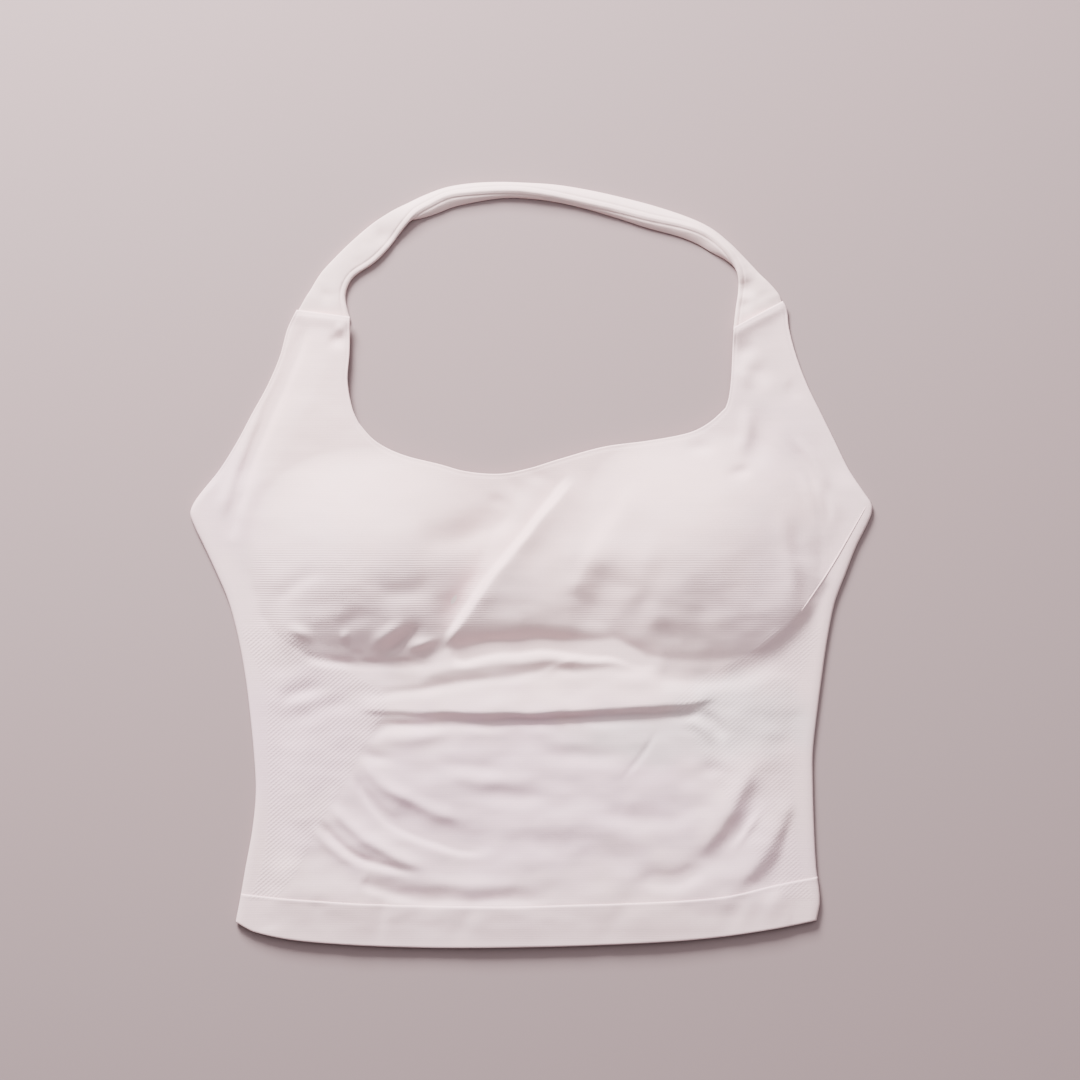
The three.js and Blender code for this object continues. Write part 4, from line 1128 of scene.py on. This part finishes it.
def strap_piece():
    """The sections of all stations, with dimples, some slack and two pressed ends."""
    vertices = []
    for outer_x, outer_y, ridge_x, ridge_y, spread in zip(*strap_at.values()):
        outer, ridge = np.array([outer_x, outer_y]), np.array([ridge_x, ridge_y])
        width = np.hypot(*(ridge - outer))
        section = strap_section(width, spread)
        places = blend(outer, ridge, (section[:, 0] / width)[:, None])
        vertices.append(np.column_stack([places, section[:, 1]]))
    size = len(vertices[0])
    count = len(vertices)
    vertices = np.vstack(vertices)
    x, y, z = vertices.T
    sink = sum(dimple(d, x, y) for d in STRAP_DIMPLES)
    slack = waves(x, y, STRAP_SLACK)
    from_end = SEAM_PRESS["station"] * np.minimum(np.arange(count), count - 1 - np.arange(count))
    out_of_seam = soft_step(0, SEAM_PRESS["over"], from_end).repeat(size)
    lifted = z + np.clip(z / STRAP_SLACK_FROM, 0, 1) * (slack - sink)
    vertices[:, 2] = np.maximum(blend(SEAM_PRESS["thin"], 1, out_of_seam) * lifted, 0)
    vertices[:, 1] -= SEAM_PRESS["tuck"] * (1 - out_of_seam)
    quads, rings = tube_faces(count, size)
    ends = [rings[0].tolist(), rings[-1][::-1].tolist()]
    return mesh_piece("neck_strap_cloth", vertices, [*quads.tolist(), *ends])


strap = strap_piece()
print("strap:", count_triangles(strap), "triangles")

# %% [markdown]
# ## The bust pads
# A pad is moulded foam under a thin knit. It fills its cup: flat below, round above, and just clear of
# the front. Only its form shows, through the front, so a few rings of points are enough. A sphere that
# is squashed into shape would be quicker, but it wouldn't follow the cup's squared oval.

# %% Pads
PAD_RINGS = np.array([0.08, 0.18, 0.28, 0.38, 0.47, 0.55, 0.62, 0.68, 0.73, 0.77, 0.795, 0.81])
PAD_BASE_RINGS = (-1, 6, 2)
PAD_SPOKES = 72
PAD_CLEARANCE = 0.8
PAD_EDGE = {"from": 0.68, "over": 0.13, "thinnest": 0.12, "height": 0.5}


def pad_piece(cup):
    """A round top over the cup's own form, and a flat base."""
    flat = BACK_CLOTH + LAYER_GAP
    angles = np.linspace(0, 2 * math.pi, PAD_SPOKES, endpoint=False)
    one_out = share_out(cup, cup["x"] + np.cos(angles), cup["y"] + np.sin(angles))
    away = PAD_RINGS[:, None] / one_out
    x = cup["x"] + away * np.cos(angles)
    y = cup["y"] + away * np.sin(angles)
    past_edge = ((PAD_RINGS - PAD_EDGE["from"]) / PAD_EDGE["over"]).clip(0, 1)
    rounding = np.sqrt(np.clip(1 - past_edge**2, 0, 1))[:, None].clip(PAD_EDGE["thinnest"], 1)
    top = flat + PAD_EDGE["height"] + (body_form(x, y) - PAD_CLEARANCE) * rounding
    highest = flat + PAD_EDGE["height"] + body_form(np.array(cup["x"]), np.array(cup["y"])) - PAD_CLEARANCE
    rings = [np.column_stack([x[r], y[r], top[r]]) for r in range(len(PAD_RINGS))]
    base = [np.column_stack([x[r], y[r], np.full(PAD_SPOKES, flat)]) for r in PAD_BASE_RINGS]
    vertices = np.vstack([[[cup["x"], cup["y"], highest]], *rings, *base, [[cup["x"], cup["y"], flat]]])
    quads, ids = tube_faces(len(rings) + len(base), PAD_SPOKES, first=1)
    turned = np.roll(ids, -1, axis=1)
    last = len(vertices) - 1
    faces = quads.tolist()
    faces += [[0, int(a), int(b)] for a, b in zip(ids[0], turned[0])]
    faces += [[last, int(b), int(a)] for a, b in zip(ids[-1], turned[-1])]
    return mesh_piece(cup["node"] + "_foam", vertices, faces)


pads = [pad_piece(cup) for cup in CUPS]
print("pads:", count_triangles(*pads), "triangles")

# %% [markdown]
# ## Knit in the material
# The stitches are too small to model one by one, so they are bump: a repeating height that turns the
# light as real loops do. The cloth's tone and its jersey face are in every material, and the rows of
# stitches come three times in the body's, so each of them is a node group. A group is built once, and its
# named sockets get new values wherever it is used.

# %% Helpers for nodes
def add_node(tree, kind, inputs=(), **settings):
    """A node with its settings, and its inputs linked or set."""
    node = tree.nodes.new(kind)
    for key, value in settings.items():
        setattr(node, key, value)
    for socket, value in dict(inputs).items():
        if isinstance(value, bpy.types.NodeSocket):
            tree.links.new(value, node.inputs[socket])
        else:
            node.inputs[socket].default_value = value
    return node


def calc(tree, operation, a, b=0.0, c=0.0, clamp=False):
    """One step of arithmetic on values or sockets."""
    node = add_node(tree, "ShaderNodeMath", {0: a, 1: b, 2: c}, operation=operation, use_clamp=clamp)
    return node.outputs[0]


def noise_at(tree, position, scale, detail):
    inputs = {"Vector": position, "Scale": scale, "Detail": detail}
    return add_node(tree, "ShaderNodeTexNoise", inputs).outputs[0]


def mix_colour(tree, share, base, other):
    """The base colour where the share is 0 and the other where it is 1."""
    return add_node(tree, "ShaderNodeMix", {0: share, 6: base, 7: other}, data_type="RGBA").outputs[2]


def new_group(name, inputs, outputs):
    """An empty shader group with named sockets: inputs are (name, kind, default)."""
    group = bpy.data.node_groups.new(name, "ShaderNodeTree")
    for label, kind, default in inputs:
        socket = group.interface.new_socket(label, in_out="INPUT", socket_type="NodeSocket" + kind)
        if default is not None:
            socket.default_value = default
    for label, kind in outputs:
        group.interface.new_socket(label, in_out="OUTPUT", socket_type="NodeSocket" + kind)
    return group, group.nodes.new("NodeGroupInput").outputs, group.nodes.new("NodeGroupOutput").inputs


def put_group(tree, group, inputs):
    """A group placed in a material, with its own values."""
    return add_node(tree, "ShaderNodeGroup", inputs, node_tree=group).outputs


print("node groups so far:", len(bpy.data.node_groups))

# %% [markdown]
# ## Rows of stitches
# Ribs are rows of stitches that stand out and fall back in turn, which is a plain wave. Turned one way
# and the other, two sets of rows make the diagonal net of the mesh.

# %% Group: rows of stitches
ROW_WANDER_SCALE = 90.0


def knit_rows_group():
    """Fine courses: a wave along Y, once Position is turned by Angle, with slightly uneven rows."""
    inputs = [
        ("Position", "Vector", None), ("Spacing", "Float", 0.0012),
        ("Angle", "Float", 0.0), ("Wander", "Float", 0.3),
    ]
    group, given, out = new_group("knit_rows", inputs, [("Height", "Float")])
    turn = {"Vector": given["Position"], "Angle": given["Angle"]}
    turned = add_node(group, "ShaderNodeVectorRotate", turn, rotation_type="Z_AXIS").outputs[0]
    along = add_node(group, "ShaderNodeSeparateXYZ", {0: turned}).outputs["Y"]
    uneven = noise_at(group, given["Position"], ROW_WANDER_SCALE, detail=1.0)
    rows = calc(group, "DIVIDE", along, given["Spacing"])
    shifted = calc(group, "MULTIPLY_ADD", uneven, given["Wander"], rows)
    wave = calc(group, "SINE", calc(group, "MULTIPLY", shifted, 2 * math.pi))
    group.links.new(calc(group, "MULTIPLY_ADD", wave, 0.5, 0.5), out["Height"])
    return group


knit_rows = knit_rows_group()
print(knit_rows.name, "has", len(knit_rows.nodes), "nodes")

# %% [markdown]
# ## The tone of the cloth
# Dyed or bleached knit isn't one flat colour. It is warmer in one place and cooler in another, and the
# fibres speckle it. Too much of this looks dirty, so both stay faint.

# %% Group: the tone of the cloth
AREA_SCALE = 7.0
AREA_CONTRAST = 2.6
FIBRE_SCALE = 900.0
ROUGHNESS = {"least": 0.72, "more": 0.12}
GREY = (0.8, 0.8, 0.8, 1)


def cloth_tone_group():
    """The cloth's colour, with broad warm and cool areas and a fine fibre speckle."""
    inputs = [
        ("Position", "Vector", None), ("Colour", "Color", GREY), ("Warm", "Color", GREY),
        ("Cool", "Color", GREY), ("Speckle", "Float", 0.03),
    ]
    group, given, out = new_group("cloth_tone", inputs, [("Colour", "Color"), ("Roughness", "Float")])
    broad = calc(group, "SUBTRACT", noise_at(group, given["Position"], AREA_SCALE, detail=2.0), 0.5)
    warm_share = calc(group, "MULTIPLY", broad, AREA_CONTRAST, clamp=True)
    cool_share = calc(group, "MULTIPLY", broad, -AREA_CONTRAST, clamp=True)
    mixed = mix_colour(group, warm_share, given["Colour"], given["Warm"])
    mixed = mix_colour(group, cool_share, mixed, given["Cool"])
    fibre = noise_at(group, given["Position"], FIBRE_SCALE, detail=2.0)
    darker = calc(group, "MULTIPLY", calc(group, "SUBTRACT", fibre, 0.5), given["Speckle"])
    value = calc(group, "ADD", darker, 1.0)
    toned = add_node(group, "ShaderNodeHueSaturation", {"Value": value, "Color": mixed}).outputs[0]
    rough = calc(group, "MULTIPLY_ADD", fibre, ROUGHNESS["more"], ROUGHNESS["least"])
    group.links.new(toned, out["Colour"])
    group.links.new(rough, out["Roughness"])
    return group


cloth_tone = cloth_tone_group()
print(cloth_tone.name, "has", len(cloth_tone.nodes), "nodes")

# %% [markdown]
# ## The jersey face
# Plain knit shows columns of small slanted loops. A zigzag across each column shifts the rows, and that
# makes the little arrows of a jersey face.

# %% Group: a jersey face
LOOP = {"height": 0.35, "middle": 0.4, "valley": 0.7}


def jersey_group():
    """Tiny stitches in columns: short slanted loops, two to a stitch."""
    inputs = [
        ("Position", "Vector", None),
        ("Stitch Width", "Float", 0.0007), ("Stitch Height", "Float", 0.0006),
    ]
    group, given, out = new_group("jersey_face", inputs, [("Height", "Float")])
    parts = add_node(group, "ShaderNodeSeparateXYZ", {0: given["Position"]}).outputs
    column = calc(group, "DIVIDE", parts["X"], given["Stitch Width"])
    leg = calc(group, "PINGPONG", column, 0.5)
    row = calc(group, "ADD", calc(group, "DIVIDE", parts["Y"], given["Stitch Height"]), leg)
    wave = calc(group, "SINE", calc(group, "MULTIPLY", row, 2 * math.pi))
    loop = calc(group, "MULTIPLY_ADD", wave, LOOP["height"], LOOP["middle"])
    valley = calc(group, "MULTIPLY", leg, LOOP["valley"])
    group.links.new(calc(group, "ADD", loop, valley), out["Height"])
    return group


jersey_face = jersey_group()
print(jersey_face.name, "has", len(jersey_face.nodes), "nodes")

# %% [markdown]
# ## The stitches of the body
# The body mixes three stitches by the painted masks. The mesh gets its net from two sets of rows, one
# weaker than the other, because one diagonal shows more on the real knit. Its gaps show a little of the
# layer below, which lies in shade, so the mesh is darkened with painted shade and a slight lilac tint.

# %% Ribs, mesh, tints and painted shade on the body
RIBS = {"spacing": 0.00125, "height": 0.72}
# The mesh colour and NET's tint share darken the mesh zone: painted shade in its gaps, with a slight lilac
# tint.
NET = {"spacing": 0.0017, "angle": 40, "wander": 0.1, "weaker": 0.3, "height": 0.75, "tint": 0.5}
MESH_TINT_AND_SHADE = (0.86, 0.63, 0.66, 1)
TINT_COLOURS = {
    "lilac_and_shade": (0.865, 0.612, 0.69, 1),
    "cool": (0.80, 0.66, 0.68, 1),
    "warm": (0.905, 0.642, 0.635, 1),
}


def painted_value(tree, mask):
    return add_node(tree, "ShaderNodeAttribute", attribute_name=mask).outputs["Fac"]


def add_stitches(tree, position, height):
    """The ribs and the net on top of a height."""
    def net_rows(angle):
        inputs = {
            "Position": position, "Spacing": NET["spacing"],
            "Angle": math.radians(angle), "Wander": NET["wander"],
        }
        return put_group(tree, knit_rows, inputs)["Height"]

    ribs = put_group(tree, knit_rows, {"Position": position, "Spacing": RIBS["spacing"]})["Height"]
    crossed = calc(tree, "MULTIPLY_ADD", net_rows(NET["angle"]), NET["weaker"], net_rows(-NET["angle"]))
    net = calc(tree, "MULTIPLY", crossed, painted_value(tree, "mesh"))
    ribbed = calc(tree, "MULTIPLY", ribs, painted_value(tree, "ribs"))
    height = calc(tree, "MULTIPLY_ADD", ribbed, RIBS["height"], height)
    return calc(tree, "MULTIPLY_ADD", net, NET["height"], height)


def add_tints_and_shade(tree, colour):
    """Painted shade with a slight tint for the mesh's gaps, then the soft areas of tint, the lilac with
    painted shade.
    """
    # The mesh zone gets painted shade for its gaps.
    gap_shade_share = calc(tree, "MULTIPLY", painted_value(tree, "mesh"), NET["tint"])
    colour = mix_colour(tree, gap_shade_share, colour, MESH_TINT_AND_SHADE)
    # The lilac mask brings in tint and painted shade together.
    for tint in TINTS:
        colour = mix_colour(tree, painted_value(tree, tint), colour, TINT_COLOURS[tint])
    return colour


print("tints on the body:", ", ".join(TINTS))

# %% [markdown]
# ## The materials
# Sheen gives the fine fibres their soft light edge, and a low specular level keeps the cloth from looking
# like plastic. The strap is smoother than the body, and the pads' cover is plain and a little greyer.

# %% Colours and materials
KNIT_WARM = (0.90, 0.652, 0.638, 1)
KNIT_COOL = (0.875, 0.64, 0.685, 1)
BODY_COLOUR = (0.89, 0.652, 0.67, 1)
STRAP_COLOUR = (0.89, 0.67, 0.66, 1)
PAD_COLOUR = (0.84, 0.78, 0.75, 1)
JERSEY_HEIGHT = 0.3
BUMP = {"Strength": 0.6, "Distance": 0.00025}
CLOTH_LOOK = {"Sheen Weight": 0.25, "Sheen Roughness": 0.45, "Specular IOR Level": 0.25}


def cloth_material(name, colour, masks):
    material = bpy.data.materials.new(name)
    material.use_nodes = True
    tree = material.node_tree
    shader = tree.nodes["Principled BSDF"]
    position = add_node(tree, "ShaderNodeTexCoord").outputs["Object"]
    tones = {"Position": position, "Colour": colour, "Warm": KNIT_WARM, "Cool": KNIT_COOL}
    tone = put_group(tree, cloth_tone, tones)
    jersey = put_group(tree, jersey_face, {"Position": position})["Height"]
    height = calc(tree, "MULTIPLY", jersey, JERSEY_HEIGHT)
    shown = tone["Colour"]
    if masks:
        height = add_stitches(tree, position, height)
        shown = add_tints_and_shade(tree, shown)
    bump = add_node(tree, "ShaderNodeBump", {"Height": height, **BUMP}).outputs[0]
    tree.links.new(shown, shader.inputs["Base Color"])
    tree.links.new(tone["Roughness"], shader.inputs["Roughness"])
    tree.links.new(bump, shader.inputs["Normal"])
    for socket, value in CLOTH_LOOK.items():
        shader.inputs[socket].default_value = value
    return material


body_knit = cloth_material("body_knit", BODY_COLOUR, masks=True)
strap_knit = cloth_material("strap_knit", STRAP_COLOUR, masks=False)
pad_cover = cloth_material("pad_cover", PAD_COLOUR, masks=False)
print("sheen on the cloth:", CLOTH_LOOK["Sheen Weight"])

# %% [markdown]
# ## Fastening the pieces to the frame
# Every piece rides on the part's one body, stands for its node and gets its material.

def half_area(piece):
    return sum(face.area for face in piece.data.polygons) / 2


def fasten(piece, material, slot, *replaced):
    piece.data.materials.append(material)
    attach(piece, "root")
    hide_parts(*replaced)


fasten(front, body_knit, "knit", "front_panel")
fasten(front_welt, body_knit, "knit", "front_hem")
fasten(back, body_knit, "knit", "back_panel")
fasten(back_welt, body_knit, "knit", "back_hem")
fasten(strap, strap_knit, "strap_knit", "neck_strap")
for pad, cup in zip(pads, CUPS):
    fasten(pad, pad_cover, "pad_foam", cup["node"])
for piece in (front, front_welt, back, back_welt, strap):
    print(piece.name, "cloth area %.4f m2" % half_area(piece))

# %% [markdown]
# ## The floor
# The photo's background is cut away, so any plain surface will do. Paper in a dull rosy grey, darker than
# the cloth, sets off its pale edges and takes the soft shadow that shows how the top lies.

# %% The floor
FLOOR_HALF = 3
FLOOR_COLOUR = (0.30, 0.225, 0.23, 1)
FLOOR_ROUGHNESS = 0.9
BELOW_CLOTH = 0.0002


def paper_floor():
    mesh = bpy.data.meshes.new("floor")
    half = FLOOR_HALF
    corners = [(-half, -half, 0), (half, -half, 0), (half, half, 0), (-half, half, 0)]
    mesh.from_pydata(corners, [], [(0, 1, 2, 3)])
    floor = bpy.data.objects.new("floor", mesh)
    bpy.context.collection.objects.link(floor)
    material = bpy.data.materials.new("floor_paper")
    material.use_nodes = True
    shader = material.node_tree.nodes["Principled BSDF"]
    shader.inputs["Base Color"].default_value = FLOOR_COLOUR
    shader.inputs["Roughness"].default_value = FLOOR_ROUGHNESS
    mesh.materials.append(material)
    floor.location.z = -BELOW_CLOTH
    return floor


paper_floor()
print("floor:", 2 * FLOOR_HALF, "m wide")

# %% [markdown]
# ## Light
# One soft light from the upper left shapes the folds, as a window does. A wider one, higher up, keeps
# the troughs open, and the room adds a little from all sides. A light's place and size are in metres
# and its power is in watts. Its colour is red, green and blue from 0 to 1.

# %% Light
WINDOW = {"place": (-0.42, 1.1, 0.61), "size": 0.47, "power": 88, "colour": (1.0, 0.955, 0.95)}
CEILING = {"place": (0.1, 1.1, 1.9), "size": 1.8, "power": 31, "colour": (1.0, 0.955, 0.975)}
ROOM = {"Color": (0.95, 0.90, 0.92, 1), "Strength": 0.3}


def soft_light(name, place, size, power, colour):
    """A square light that faces the middle of the top."""
    light = bpy.data.lights.new(name, "AREA")
    light.size = size
    light.energy = power
    light.color = colour
    lamp = bpy.data.objects.new(name, light)
    lamp.location = place
    lamp.rotation_euler = (-Vector(place)).to_track_quat("-Z", "Y").to_euler()
    bpy.context.collection.objects.link(lamp)


soft_light("window_light", **WINDOW)
soft_light("ceiling_light", **CEILING)
world = bpy.data.worlds.new("room")
world.use_nodes = True
for socket, value in ROOM.items():
    world.node_tree.nodes["Background"].inputs[socket].default_value = value
bpy.context.scene.world = world
print("lights:", WINDOW["power"], "and", CEILING["power"], "watts")

# %% [markdown]
# ## Camera
# The photo looks straight down. A camera 1.6 m up with a long lens does the same and keeps the cups from
# looking larger than they are. The lens follows from the width that the picture has to show.

# %% Camera
CAMERA_PLACE = (0.0047, 0.0130, 1.6)
VIEW_WIDTH = 0.5724
SENSOR = 36
camera_data = bpy.data.cameras.new("camera")
camera_data.sensor_width = SENSOR
camera_data.lens = SENSOR * CAMERA_PLACE[2] / VIEW_WIDTH
camera = bpy.data.objects.new("camera", camera_data)
camera.location = CAMERA_PLACE
bpy.context.collection.objects.link(camera)
bpy.context.scene.camera = camera
print("lens: %.0f mm" % camera_data.lens)

# %% [markdown]
# ## Finish
# The dressed top has to stay as large as the imported one. The scene is brought up to date last.

# %% Sizes
bpy.context.view_layer.update()
